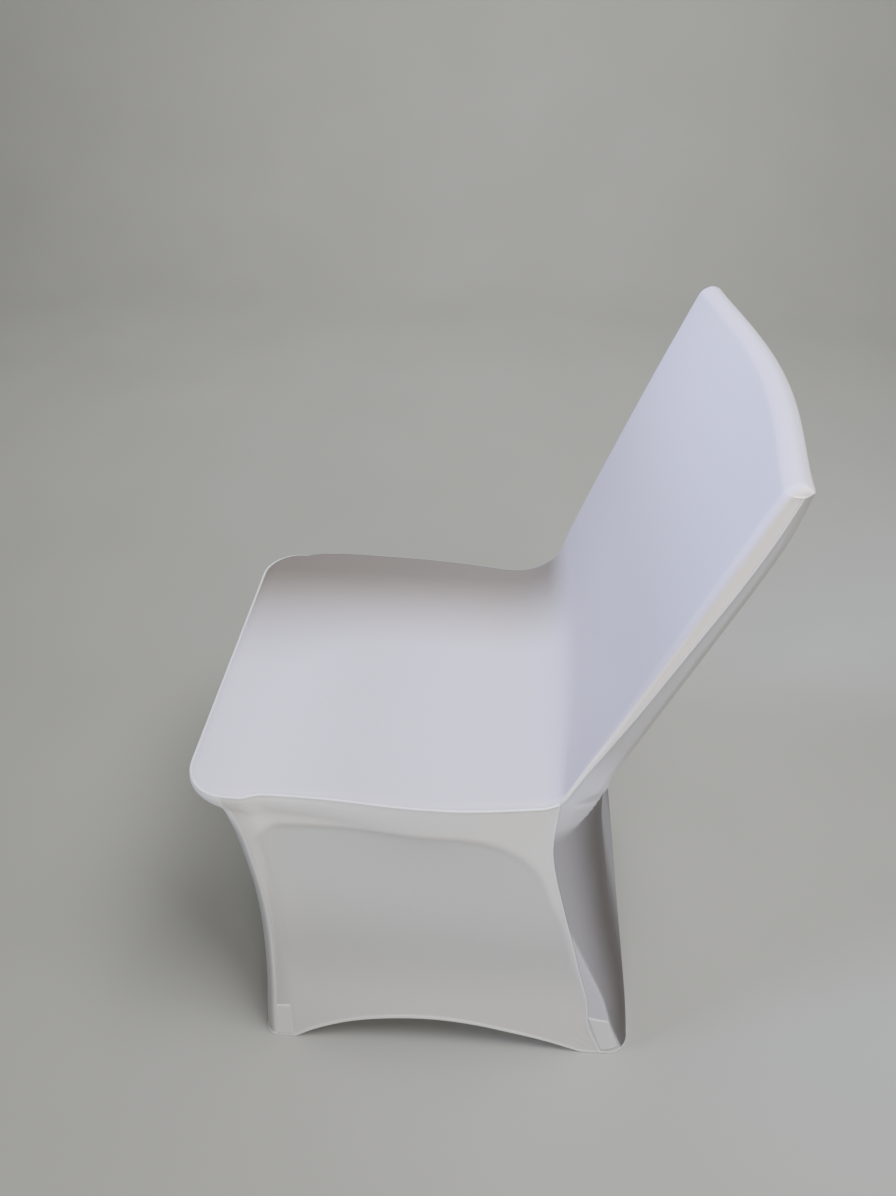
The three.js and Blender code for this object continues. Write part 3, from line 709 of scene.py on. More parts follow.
    def _top_row(self, row: int) -> np.ndarray:
        """Return one row over the top of the back.

        Args:
            row: Row of the top's table.

        Returns:
            The points of the row.
        """
        c, back = self.columns, self.back
        y, z, end_y, end_z = (TOP.column(name)[row] for name in ("y", "z", "end_y", "end_z"))
        depth = end_y - y
        inset, deep = edge_place(c.edge, back.edge_round, depth, max(depth - back.edge_round, 0))
        x = c.across(back.half_high, back.edge_round, inset)
        start = self.back_plane(back.shoulder) + self.back_shape(x, back.shoulder)
        rise = lerp(z, end_z, self._drop_share(inset, back.edge_round))
        return np.stack([x, start + y + deep, back.shoulder + rise], axis=-1)

    def _control_rows(self) -> np.ndarray:
        """Return the rows that the tables give, from the front hem to the top of the back.

        Returns:
            Rows by columns by xyz.
        """
        rows = [self._skirt_row(share) for share in SKIRT_SHARES]
        rows += [self._rim_row(k) for k in range(len(RIM.rows))]
        rows += [self._seat_row(share) for share in SEAT_SHARES]
        rows += [self._bridge_row(share) for share in BRIDGE_SHARES]
        rows += [self._back_row(share) for share in BACK_SHARES]
        rows += [self._top_row(k) for k in range(len(TOP.rows))]
        return np.array(rows)

    def rear_seam(self, side: int) -> np.ndarray:
        """Return the seam behind a side skirt, from the floor to the crease corner.

        Args:
            side: +1 for the left side, -1 for the right one.

        Returns:
            The points of the seam.
        """
        end = -1 if side > 0 else 0
        top = self.front[self.row_of(self.crease_row), end]
        share = self.index[: self.row_of(self.corner_row) + 1] / self.corner_row
        z = top[2] * share
        blend = smoothstep(z, self.skirt.top - self.skirt.crease_approach, top[2])
        x = lerp(side * SKIRT.at("seam_x", z), top[0], blend)
        return np.stack([x, lerp(SKIRT.at("seam_y", z), top[1], blend), z], axis=-1)

    def step_depth(self, points: np.ndarray) -> np.ndarray:
        """Return the depth of the soft step at points of a side skirt.

        Args:
            points: Points by xyz.

        Returns:
            The depth in millimetres, for each point.
        """
        s = self.skirt
        y, z = points[..., 1], points[..., 2]
        front = y - SKIRT.at("front_y", z)
        front = front - s.step_front_margin * smoothstep(z, s.step_front_low, s.step_front_high)
        rear = SKIRT.at("seam_y", z) - y
        rear = rear - s.step_rear_margin * smoothstep(z, s.step_rear_low, s.step_rear_high)
        top = s.step_top - z

        def corner(a: np.ndarray, b: np.ndarray, turn: float) -> np.ndarray:
            """Return the distance inside two edges that meet in a rounded corner."""
            u, v = np.maximum(turn - a, 0), np.maximum(turn - b, 0)
            return np.where((u > 0) & (v > 0), turn - np.hypot(u, v), np.minimum(a, b))

        within = np.minimum(corner(front, top, s.step_front_round), corner(rear, top, s.step_rear_round))
        fade = smoothstep(z, s.step_fade_low, s.step_fade_high)
        return s.step_depth * smoothstep(within, 0, s.step_width) * fade

    def side_skirt(self, side: int) -> np.ndarray:
        """Return one side skirt, filled in between its four edges.

        Args:
            side: +1 for the left side, -1 for the right one.

        Returns:
            Rows by columns by xyz.
        """
        end = -1 if side > 0 else 0
        corner, crease = self.row_of(self.corner_row), self.row_of(self.crease_row)
        front = self.front[: corner + 1, end]
        top = self.front[corner : crease + 1, end]
        rear = self.rear_seam(side)
        s = (top[:, 1] - top[0, 1]) / (top[-1, 1] - top[0, 1])
        hem = lerp(front[0][None], rear[0][None], s[:, None])
        skirt = self.skirt
        along = (hem[:, 1] - skirt.side_hem_front) / (skirt.side_hem_rear - skirt.side_hem_front)
        hem[:, 2] = np.where((along > 0) & (along < 1), SIDE_HEM.at("rise", along), 0.0)
        t = (self.index[: corner + 1] / self.corner_row)[:, None, None]
        s3 = s[None, :, None]
        grid = front[:, None] * (1 - s3) + rear[:, None] * s3 + hem[None] * (1 - t) + top[None] * t
        grid -= front[0] * (1 - s3) * (1 - t) + rear[0] * s3 * (1 - t)
        grid -= top[0] * (1 - s3) * t + top[-1] * s3 * t
        s2, t2 = s[None, :], t[..., 0]
        below = np.clip((top[None, :, 2] - grid[..., 2]) / self.seat.rim_depth, 0, 1)
        ends = smoothstep(np.minimum(s2, 1 - s2), 0, self.seat.rim_end_share)
        bulge = self.seat.rim_bulge * np.sin(math.pi * below) * ends
        hollow = skirt.side_hollow * np.sin(math.pi * s2)
        power = np.where(t2 < 0.5, skirt.side_hollow_power, skirt.side_hollow_rim_power)
        hollow = hollow * np.clip(np.sin(math.pi * t2), 0, 1) ** power
        moved = side * (bulge - hollow - self.step_depth(grid))
        grid[1:-1, 1:-1, 0] += moved[1:-1, 1:-1]
        return grid

    def in_fold(self, edge: np.ndarray, z: np.ndarray) -> np.ndarray:
        """Return how far a place round the wrap of the rear panel lies below the crease fold.

        Args:
            edge: How far round the wrap, 0 to 1.
            z: Height.

        Returns:
            0 above the fold, 1 below it.
        """
        f = self.fold
        top = lerp(f.top_rear, f.top_seam, smoothstep(edge, *f.top_span))
        soft = lerp(f.soft_rear, f.soft_seam, smoothstep(edge, *f.soft_span))
        return smoothstep(top - z, 0, soft)

    def on_leg(self, edge: np.ndarray, z: np.ndarray) -> np.ndarray:
        """Return how far a place of the wrap lies over the leg, between the seam and the leg's edge."""
        f = self.fold
        return smoothstep(f.leg_top - f.leg_fall * (1 - edge) - z, 0, f.leg_soft)

    def fold_depth(self, edge: np.ndarray, z: np.ndarray) -> np.ndarray:
        """Return how deep the wrap of the rear panel falls in between the crease fold and the leg.

        Args:
            edge: How far round the wrap, 0 to 1.
            z: Height.

        Returns:
            The depth in millimetres.
        """
        f = self.fold
        share = np.sin(math.pi * np.clip(edge, 0, 1)) ** f.power
        inside = self.in_fold(edge, z) * (1 - self.on_leg(edge, z))
        return f.depth * share * inside * smoothstep(z, f.end * f.end_share, f.end)

    def rear(self) -> np.ndarray:
        """Return the rear panel: skirt rows up to the crease corners, then the outside of the back.

        Returns:
            Rows by columns by xyz.
        """
        c, back, skirt = self.columns, self.back, self.skirt
        corner, crease = self.row_of(self.corner_row), self.row_of(self.crease_row)
        ends = {
            side: np.concatenate([self.rear_seam(side), self.front[crease + 1 :, -1 if side > 0 else 0]])
            for side in (1, -1)
        }
        skipped = self.crease_row - self.corner_row
        index = np.concatenate([self.index[: corner + 1], self.index[crease + 1 :] - skipped])
        shoulder = self.shoulder_row - skipped
        last = self.front[-1]
        below = ends[1][int(np.argmin(np.abs(index - (shoulder - 1))))][2]
        outside = np.concatenate([[below, back.rear_top_row], TOP.column("outside")])
        rows = []
        for k, place in enumerate(index):
            end = np.where(c.side[:, None] > 0, ends[1][k], ends[-1][k])
            above = max(place - (shoulder - 1), 0.0)
            over_top = float(np.interp(above, range(len(outside)), outside))
            middle_z = over_top if above > 0 else ends[1][k][2]
            on_skirt = k <= corner
            half = np.abs(end[:, 0])
            flat_x = c.side * c.flat * half
            near_hem = max(1 - middle_z / skirt.top, 0)
            z = middle_z + skirt.rear_hem_rise * self.arch(flat_x, skirt.rear_hem_half) * near_hem
            on_back = self.back_plane(z) + BACK.at("depth", z) + self.back_shape(flat_x, z)
            bow = self.back_shape(flat_x, z) * smoothstep(z, skirt.rear_bow_start, skirt.crease)
            rear_y = SKIRT.at("rear_y", z) + bow if on_skirt else on_back
            depth = rear_y - end[:, 1]
            blend = smoothstep(z, skirt.crease, back.rear_turn_end)
            back_round = lerp(back.rear_turn_round, back.rear_edge_round, blend)
            turn = SKIRT.at("rear_round", z) if on_skirt else back_round
            strip = np.maximum(depth - lerp(back.rear_turn_depth, back.rear_edge_round, blend), 0)
            flat = SKIRT.at("flat", z) if on_skirt else strip
            inset, deep = edge_place(c.edge, turn, depth, flat)
            height = lerp(z, end[:, 2], c.edge)
            fold = self.fold_depth(c.edge, height) * DIAGONAL
            x = c.across(half, turn, inset) - c.side * fold
            row = np.stack([x, rear_y - deep - fold, height], axis=-1)
            row[c.edge >= 1] = end[c.edge >= 1]
            rows.append(lerp(row, last, float(np.clip(above - len(TOP.rows), 0, 1))))
        return np.array(rows)

    def _seat_back(self) -> Grid:
        """Return the panel of seat and back, with painted shade on the seat's far side, lightly on the seat
        behind its front and low on the back, and painted warm light on that far side, on the side bands
        and low down.

        Returns:
            The panel's grid, from the rim's seam to the top of the back.
        """
        corner, tint = self.row_of(self.corner_row), self.tint
        points = self.front[corner:]
        x, y, z = (points[..., k] for k in range(3))
        past_crease = self.index[corner:, None] - self.crease_row
        on_back = smoothstep(past_crease, 0, tint.crease_rows)
        far = smoothstep(-x, *tint.far_span)
        band = smoothstep(self.columns.edge, *tint.band_span)[None]
        low = smoothstep(-z, *tint.low_back_span) * (1 - band)
        inner = tint.seat * smoothstep(y, *tint.seat_span)
        # Painted shade first, then painted warm light
        thin = (1 - on_back) * np.maximum(inner, far * tint.far_seat) + on_back * low * tint.low_back
        warm = tint.warm_seat * (1 - smoothstep(z, *tint.warm_span))
        cream = np.maximum(warm, np.maximum((1 - on_back) * far, on_back * band))
        return Grid("seat_back_panel", points, 1, False, thin, cream)

    def _front_skirt(self) -> Grid:
        """Return the front skirt, with painted shade that grows toward its sides below the rim,
        and painted warm light at its corners.

        Returns:
            The skirt's grid, from the hem to the rim's seam.
        """
        points, tint = self.front[: self.row_of(self.corner_row) + 1], self.tint
        corner = smoothstep(self.columns.edge, *tint.corner_span)
        share = lerp(tint.front_middle, tint.front, smoothstep(self.columns.flat, *tint.front_span))
        thin = share * smoothstep(-points[..., 2], *tint.front_top_span) * (1 - corner)
        return Grid("front_skirt", points, 1, True, thin, np.broadcast_to(corner, thin.shape))

    def _side(self, name: str, side: int) -> Grid:
        """Return a side skirt, with painted shade inside its step, toward its hem and at its front edge,
        and painted warm light outside the step.

        Args:
            name: Name of the panel.
            side: +1 for the left skirt, -1 for the right one.

        Returns:
            The skirt's grid, from the hem to the rim's seam.
        """
        points, tint = self.side_skirt(side), self.tint
        inside = self.step_depth(points) / self.skirt.step_depth
        front = points[..., 1] - SKIRT.at("front_y", points[..., 2])
        low = tint.low_side * smoothstep(-points[..., 2], *tint.low_side_span)
        thin = low + np.maximum(inside * tint.step, tint.corner * smoothstep(-front, *tint.corner_low_span))
        return Grid(name, points, side, True, thin, 1 - inside)

    def _rear(self) -> Grid:
        """Return the rear panel, with painted shade below the crease fold, a little over the leg and on the
        back's wraps, and painted warm light on those wraps.

        Returns:
            The panel's grid, from the hem to the top of the back.
        """
        points, tint = self.rear(), self.tint
        edge = np.broadcast_to(self.columns.edge, points.shape[:2])
        z = points[..., 2]
        sideways = smoothstep(self.columns.flat, *tint.middle_span)
        soft = lerp(tint.middle_soft, self.fold.soft_rear, sideways)
        middle = smoothstep(self.fold.top_rear - z, 0, soft) * lerp(tint.middle_share, 1, sideways)
        inside = np.where(edge > 0, self.in_fold(edge, z), middle) * (1 - self.on_leg(edge, z))
        inside = inside * lerp(1, tint.seam_share, smoothstep(edge, *tint.seam_span))
        wrapped = smoothstep(z, *tint.back_low_span) * smoothstep(edge, *tint.back_wrap_span)
        on_leg = tint.leg * self.on_leg(edge, z)
        thin = np.maximum(np.maximum(inside * tint.wrap, on_leg), tint.back_wrap * wrapped)
        return Grid("rear_panel", points, -1, True, thin, wrapped)

    def panels(self) -> list[Grid]:
        """Return all five panels, with normals that neighbours share along their seams.

        Returns:
            The grids, in the order in which they are built.
        """
        found = [
            self._seat_back(),
            self._front_skirt(),
            self._side("side_skirt_left", 1),
            self._side("side_skirt_right", -1),
            self._rear(),
        ]
        for grid in found:
            grid.points = grid.points + np.array([0, self.cloth.origin_y, 0])
            grid.normals = grid.own_normals()
        every = np.concatenate([grid.points.reshape(-1, 3) for grid in found])
        normals = np.concatenate([grid.normals.reshape(-1, 3) for grid in found])
        _, group = np.unique(np.round(every, decimals=2), axis=0, return_inverse=True)
        group = group.ravel()
        total = np.zeros((group.max() + 1, 3))
        np.add.at(total, group, normals)
        shared = unit(total)[group]
        start = 0
        for grid in found:
            count = grid.points.shape[0] * grid.points.shape[1]
            grid.normals = shared[start : start + count].reshape(grid.points.shape)
            start += count
        return found


# Finishes


def linear(hex_colour: str) -> tuple[float, float, float, float]:
    """Return the scene-linear colour of an sRGB hex value."""
    parts = [int(hex_colour[k : k + 2], 16) / 255 for k in (1, 3, 5)]
    return (*(p / 12.92 if p <= 0.04045 else ((p + 0.055) / 1.055) ** 2.4 for p in parts), 1.0)


def add_node(tree: bpy.types.NodeTree, kind: str, **values: object) -> bpy.types.Node:
    """Add a node and set its properties and inputs.

    Args:
        tree: The node tree.
        kind: The node's type name.
        **values: Properties by name, or inputs by name with spaces as underscores.

    Returns:
        The new node.
    """
    node = tree.nodes.new(kind)
    for name, value in values.items():
        if hasattr(node, name):
            setattr(node, name, value)
        else:
            node.inputs[name.replace("_", " ")].default_value = value
    return node


def mixed(
    tree: bpy.types.NodeTree,
    share: bpy.types.NodeSocket,
    base: bpy.types.NodeSocket | tuple[float, ...],
    colour: tuple[float, ...],
) -> bpy.types.NodeSocket:
    """Mix a colour into another one; a mix node's colours are its inputs 6 and 7 and its output 2.

    Args:
        tree: The node tree.
        share: The socket that says how much of the colour is mixed in, 0 to 1.
        base: The colour where that share is 0, or the socket that gives it.
        colour: The colour where the share is 1.

    Returns:
        The socket with the mixed colour.
    """
    mix = add_node(tree, "ShaderNodeMix", data_type="RGBA")
    if isinstance(base, bpy.types.NodeSocket):
        tree.links.new(base, mix.inputs[6])
    else:
        mix.inputs[6].default_value = base
    mix.inputs[7].default_value = colour
    tree.links.new(share, mix.inputs[0])
    return mix.outputs[2]


def mottled(
    name: str, roughness: float, colours: tuple[str, str], scale: float, detail: float
) -> tuple[bpy.types.Material, bpy.types.NodeSocket]:
    """Make a material whose colour wanders between two, by a noise in the piece's own space.

    Args:
        name: Name of the material.
        roughness: Roughness of the shader.
        colours: The two colours.
        scale: Scale of the noise, to the metre.
        detail: How many finer layers the noise has.

    Returns:
        The material, and the socket with the noise.
    """
    material = bpy.data.materials.new(name)
    material.use_nodes = True
    tree = material.node_tree
    shader = tree.nodes["Principled BSDF"]
    shader.inputs["Roughness"].default_value = roughness
    place = add_node(tree, "ShaderNodeTexCoord")
    noise = add_node(tree, "ShaderNodeTexNoise", Scale=scale, Detail=detail)
    tree.links.new(place.outputs["Object"], noise.inputs[0])
    colour = mixed(tree, noise.outputs[0], linear(colours[0]), linear(colours[1]))
    tree.links.new(colour, shader.inputs["Base Color"])
    return material, noise.outputs[0]


@dataclass(frozen=True)
class KnitFinish:
    """A white stretch knit.

    Attributes:
        name: Name of the material.
        colour: Its colour where the cloth lies flat.
        cream: Its colour under full painted warm light.
        thin: Its colour under full painted shade.
        hem: Its colour where it lies double.
        roughness: Roughness of the shader.
        sheen: Weight of the shader's sheen.
        sheen_colour: Colour of that sheen.
        sheen_roughness: Roughness of that sheen.
        specular: Level of the plain reflection.
        wale: Distance between the knit's ribs, in millimetres.
        relief: Height of those ribs, in millimetres.
        relief_share: How much of that relief the light shows.
        grain: Scale of the fuzz between the ribs, to the metre.
        fuzz: Height of that fuzz, as a share of the ribs'.
        streaks: How much the streaks of the stretch add to the painted shade.
        streak_scale: Scale of those streaks across and along the cloth, to the metre.
    """

    name: str
    colour: str
    cream: str
    thin: str
    hem: str
    roughness: float
    sheen: float
    sheen_colour: str = "#f4f4ff"
    sheen_roughness: float = 0.35
    specular: float = 0.35
    wale: float = 1.2
    relief: float = 0.12
    relief_share: float = 0.55
    grain: float = 900.0
    fuzz: float = 0.35
    streaks: float = 0.04
    streak_scale: tuple[float, float] = (120.0, 16.0)

    def _colour(self, tree: bpy.types.NodeTree, place: bpy.types.NodeSocket) -> bpy.types.NodeSocket:
        """Return the knit's colour: its own, under painted warm light, under painted shade, or doubled.

        Args:
            tree: The node tree.
            place: The socket with the place on the cloth.

        Returns:
            The socket with the colour.
        """

        def of_cloth(name: str) -> bpy.types.NodeSocket:
            """Return the socket that reads one of the cloth's attributes."""
            return add_node(tree, "ShaderNodeAttribute", attribute_name=f"{name}_cloth").outputs["Fac"]

        # Streaks of uneven stretch, about 8 mm across and 60 mm long, added to the painted shade
        stretch = add_node(tree, "ShaderNodeMapping")
        stretch.inputs["Scale"].default_value = (*self.streak_scale, 1.0)
        streaks = add_node(tree, "ShaderNodeTexNoise", Scale=1.0, Detail=3.0, Roughness=0.55)
        tree.links.new(place, stretch.inputs[0])
        tree.links.new(stretch.outputs[0], streaks.inputs[0])
        streaks_and_painted_shade = add_node(tree, "ShaderNodeMath", operation="MULTIPLY_ADD")
        streaks_and_painted_shade.inputs[1].default_value = self.streaks
        tree.links.new(streaks.outputs[0], streaks_and_painted_shade.inputs[0])
        tree.links.new(of_cloth("thin"), streaks_and_painted_shade.inputs[2])
        colour = mixed(tree, of_cloth("cream"), linear(self.colour), linear(self.cream))
        with_painted_shade = mixed(tree, streaks_and_painted_shade.outputs[0], colour, linear(self.thin))
        return mixed(tree, of_cloth("double"), with_painted_shade, linear(self.hem))

    def _relief(self, tree: bpy.types.NodeTree, place: bpy.types.NodeSocket) -> bpy.types.NodeSocket:
        """Return the knit's relief: its ribs with a fine fuzz between them.

        Args:
            tree: The node tree.
            place: The socket with the place on the cloth.

        Returns:
            The socket with the normal.
        """
        # The real ribs are 0.4 mm apart and are drawn coarser, to be seen. A wave texture of scale
        # 1 repeats every pi / 10.
        ribs = add_node(tree, "ShaderNodeTexWave", bands_direction="X", Distortion=0.4)
        ribs.inputs["Scale"].default_value = 1.0 / (self.wale * MM) * math.pi / 10
        ribs.inputs["Detail Scale"].default_value = 2.0
        grain = add_node(tree, "ShaderNodeTexNoise", Scale=self.grain, Detail=2.0)
        height = add_node(tree, "ShaderNodeMath", operation="MULTIPLY_ADD")
        height.inputs[1].default_value = self.fuzz
        bump = add_node(tree, "ShaderNodeBump", Strength=self.relief_share)
        bump.inputs["Distance"].default_value = self.relief * MM
        tree.links.new(place, ribs.inputs[0])
        tree.links.new(place, grain.inputs[0])
        tree.links.new(grain.outputs[0], height.inputs[0])
        tree.links.new(ribs.outputs["Fac"], height.inputs[2])
        tree.links.new(height.outputs[0], bump.inputs["Height"])
        return bump.outputs[0]

    def build(self) -> bpy.types.Material:
        """Build the material from nodes.

        Returns:
            The material, with its pattern laid on the cloth's own map.
        """
        material = bpy.data.materials.new(self.name)
        material.use_nodes = True
        tree = material.node_tree
        tree.nodes.clear()
        output = add_node(tree, "ShaderNodeOutputMaterial")
        shader = add_node(tree, "ShaderNodeBsdfPrincipled", Roughness=self.roughness)
        shader.inputs["Sheen Weight"].default_value = self.sheen
        shader.inputs["Sheen Roughness"].default_value = self.sheen_roughness
        shader.inputs["Sheen Tint"].default_value = linear(self.sheen_colour)
        shader.inputs["Specular IOR Level"].default_value = self.specular
        place = add_node(tree, "ShaderNodeUVMap", uv_map="cloth").outputs[0]
        tree.links.new(shader.outputs[0], output.inputs[0])
        tree.links.new(self._colour(tree, place), shader.inputs["Base Color"])
        tree.links.new(self._relief(tree, place), shader.inputs["Normal"])
        return material


class Slot(Enum):
    """Material slots of the record, by their names there."""

    SEAT = "knit_seat"
    SKIRT = "knit_skirt"
    REAR = "knit_rear"
    CUP = "knit_cup"


@dataclass(frozen=True)
class ThreadFinish:
    """The thread of the seams and stitches: a little uneven, with a twisted relief.

    Attributes:
        name: Name of the material.
        colour: Its colour.
        worn: The colour that it leans to here and there.
        roughness: Roughness of the shader.
        grain: Scale of the unevenness, to the metre.
        relief: Height of the twist, in millimetres.
        relief_share: How much of that relief the light shows.
    """

    name: str
    colour: str
    worn: str
    roughness: float
    grain: float = 700.0
    relief: float = 0.2
    relief_share: float = 0.5

    def build(self) -> bpy.types.Material:
        """Build the material from nodes.

        Returns:
            The material, with its pattern laid in the piece's own space.
        """
        material, noise = mottled(self.name, self.roughness, (self.colour, self.worn), self.grain, 2.0)
        tree = material.node_tree
        bump = add_node(tree, "ShaderNodeBump", Strength=self.relief_share)
        bump.inputs["Distance"].default_value = self.relief * MM
        tree.links.new(noise, bump.inputs["Height"])
        tree.links.new(bump.outputs[0], tree.nodes["Principled BSDF"].inputs["Normal"])
        return material


@dataclass(frozen=True)
class StageFinish:
    """The plain paper under and behind the cover, with a faint mottle."""

    name: str
    colour: str
    mottle: str
    roughness: float
    grain: float = 3.0

    def build(self) -> bpy.types.Material:
        """Build the material from nodes."""
        return mottled(self.name, self.roughness, (self.colour, self.mottle), self.grain, 1.0)[0]


KNITS = {
    # The white knit painted lavender, as painted light from above, with a soft sheen; painted warm light
    # turns it creamy on the far side and side bands; painted shade darkens the far side and low back
    Slot.SEAT: KnitFinish(
        "white_knit_seat", "#e9e2fb", "#fff3ea", "#807870", "#f0f0f4", roughness=0.5, sheen=0.25
    ),
    # A plainer white, duller than the seat's and without its painted lavender light, which makes the skirt
    # look stretched flat; painted shade greys it in the step, toward the hem and on the front's sides
    Slot.SKIRT: KnitFinish(
        "white_knit_skirt", "#e6e5e5", "#f7f3f1", "#74746f", "#f0f0f0", roughness=0.55, sheen=0.2
    ),
    # A cool and slightly grey white, as painted shade for the rear, that goes dark brown-grey under painted
    # shade below the crease fold, so that the recess looks deep
    Slot.REAR: KnitFinish(
        "white_knit_rear", "#dbd9e4", "#e2e0df", "#524d4b", "#ececec", roughness=0.6, sheen=0.06
    ),
    # Doubled knit, which gets no painted shade and so looks the most solid
    Slot.CUP: KnitFinish(
        "white_knit_double", "#e6e6e6", "#e6e6e6", "#969696", "#f0f0f0", roughness=0.6, sheen=0.2
    ),
}
# Fine white stitches, a little brighter than the knit
SEWING_THREAD = ThreadFinish("white_sewing_thread", "#f2f2f6", "#e6e6ea", 0.5)
# Folded knit, a little greyer than the skirt as painted shade in the fold, which makes the pleats and the
# quiet seams stand out only by that shade
PLEAT_KNIT = ThreadFinish("white_knit_pleat", "#dcdad8", "#d2d0ce", 0.6)
# The turned edge of the knit, painted near white as a painted highlight: the bright line of the seams round
# the rim and over the legs
SEAM_HIGHLIGHT = ThreadFinish("white_seam_painted_highlight", "#fdfdff", "#f2f2f6", 0.45)
# Even warm grey paper, against which the white of the cover shows
STUDIO_PAPER = StageFinish("grey_paper", "#b8b8b3", "#afafaa", 0.85)


# Meshes


def new_object(
    name: str,
    points: np.ndarray,
    faces: list[tuple[int, ...]],
    edges: list[tuple[int, int]] | None = None,
) -> bpy.types.Object:
    """Make a mesh object at the origin.

    Args:
        name: Name of the object and of its mesh.
        points: Its vertices, in millimetres.
        faces: Its faces.
        edges: Its loose edges.

    Returns:
        The new object.
    """
    mesh = bpy.data.meshes.new(name)
    mesh.from_pydata((points * MM).tolist(), edges or [], faces)
    mesh.update()
    item = bpy.data.objects.new(name, mesh)
    bpy.context.scene.collection.objects.link(item)
    return item


def shell_faces(rows: int, wide: int, flip: bool) -> list[tuple[int, ...]]:
    """Return the faces of a closed sheet whose inner points follow its outer ones.

    Args:
        rows: Number of rows of points.
        wide: Number of points in a row.
        flip: Whether the faces are turned round.

    Returns:
        The faces of both sides, and then those of the strip between them.
    """
    count = rows * wide
    faces = []
    for i in range(rows - 1):
        for j in range(wide - 1):
            a = i * wide + j
            faces.append((a, a + 1, a + wide + 1, a + wide))
            faces.append((count + a, count + a + wide, count + a + wide + 1, count + a + 1))
    border = list(range(wide - 1)) + [i * wide + wide - 1 for i in range(rows - 1)]
    border += [(rows - 1) * wide + j for j in range(wide - 1, 0, -1)]
    border += [i * wide for i in range(rows - 1, 0, -1)]
    faces += [(count + a, count + b, b, a) for a, b in zip(border, border[1:] + border[:1])]
    return [(a, d, c, b) for a, b, c, d in faces] if flip else faces


def outward_faces(item: bpy.types.Object) -> None:
    """Turn the faces of a closed mesh outward."""
    bm = bmesh.new()
    bm.from_mesh(item.data)
    bmesh.ops.recalc_face_normals(bm, faces=bm.faces)
    bm.to_mesh(item.data)
    bm.free()


def finish_cloth(
    item: bpy.types.Object,
    smooth: int,
    places: np.ndarray,
    finish: bpy.types.Material,
    **attributes: np.ndarray,
) -> bpy.types.Object:
    """Give a piece of cloth its smooth faces, its map, its attributes and its material.

    Args:
        item: The mesh object.
        smooth: How many of its first faces are shaded smooth.
        places: Where each vertex lies on the flat cloth, in millimetres.
        finish: The knit's material.
        **attributes: A value for each vertex, by the name of the attribute.

    Returns:
        The same object.
    """
    mesh = item.data
    mesh.polygons.foreach_set("use_smooth", [k < smooth for k in range(len(mesh.polygons))])
    corners = np.zeros(len(mesh.loops), int)
    mesh.loops.foreach_get("vertex_index", corners)
    layer = mesh.uv_layers.new(name="cloth")
    layer.data.foreach_set("uv", (places * MM)[corners].ravel())
    for name, values in attributes.items():
        mesh.attributes.new(name, "FLOAT", "POINT").data.foreach_set("value", values)
    mesh.materials.append(finish)
    return item


class PanelBuilder:
    """Turns a grid into a closed sheet of knit with its hem, its map and its finish."""

    def __init__(self, grid: Grid, cloth: ClothSizes) -> None:
        """Keep the grid and the cloth's sizes."""
        self.grid = grid
        self.cloth = cloth

    def _double(self) -> np.ndarray:
        """Return how double the cloth lies at each point.

        Returns:
            1 in the hem and 0 past it, rows by columns.
        """
        if not self.grid.hem:
            return np.zeros(self.grid.points.shape[:2])
        away = self.grid.distance_from(0, False)
        width, soft = self.cloth.hem_width, self.cloth.hem_soft
        return 1 - smoothstep(away, width - soft, width + soft)

    def _trimmed(self) -> np.ndarray:
        """Return the points with every sewn edge drawn back by half the gap.

        Returns:
            The points in millimetres, rows by columns by xyz.
        """
        q = self.grid.points
        p = q.copy()
        half = self.cloth.gap / 2
        if not self.grid.hem:
            p[0] += unit(q[1] - q[0]) * half
        p[-1] += unit(q[-2] - q[-1]) * half
        p[:, 0] += unit(q[:, 1] - q[:, 0]) * half
        p[:, -1] += unit(q[:, -2] - q[:, -1]) * half
        return p

    def build(self, finish: bpy.types.Material) -> bpy.types.Object:
        """Build the panel.

        Args:
            finish: The knit's material.

        Returns:
            The mesh object of the panel.
        """
        grid = self.grid
        double = self._double()
        raised = (double * self.cloth.hem_raise)[..., None]
        outer = self._trimmed() + grid.normals * raised
        inner = outer - grid.normals * (self.cloth.thickness + raised)
        for face in (outer, inner):
            face[..., 2] = np.maximum(face[..., 2], CLEARANCE)
        rows, wide = outer.shape[:2]
        points = np.concatenate([outer.reshape(-1, 3), inner.reshape(-1, 3)])
        item = new_object(f"{grid.name}_knit", points, shell_faces(rows, wide, grid.outward < 0))
        middle = wide // 2
        across = grid.distance_from(1, False)
        across = across - across[:, [middle]]
        along = np.repeat(grid.distance_from(0, False)[:, [middle]], wide, axis=1)
        places = np.tile(np.stack([across, along], axis=-1).reshape(-1, 2), (2, 1))
        # Each vertex carries how much painted shade and painted warm light its knit shows
        return finish_cloth(
            item,
            2 * (rows - 1) * (wide - 1),
            places,
            finish,
            double_cloth=np.tile(double.ravel(), 2),
            thin_cloth=np.tile(grid.thin.ravel(), 2),
            cream_cloth=np.tile(grid.cream.ravel(), 2),
        )


@dataclass(frozen=True)
class CupSizes:
    """Sizes of the cups for the ends of the legs, in millimetres."""

    height: float = 76.0
    clearance: float = 0.5
    width: float = 34.0
    front_length: float = 36.0
    rear_length: float = 50.0
    taper: float = 1.8
    inner_round: float = 5.0
    tight_round: float = 1.0
    corner_steps: int = 8
    cloth: float = 1.6
    hem: float = 7.0
    hem_soft: float = 0.6
    hem_raise: float = 0.4
    outer_levels: tuple[float, ...] = (12, 24, 36, 48, 60)
    inner_levels: tuple[float, ...] = (48, 24)


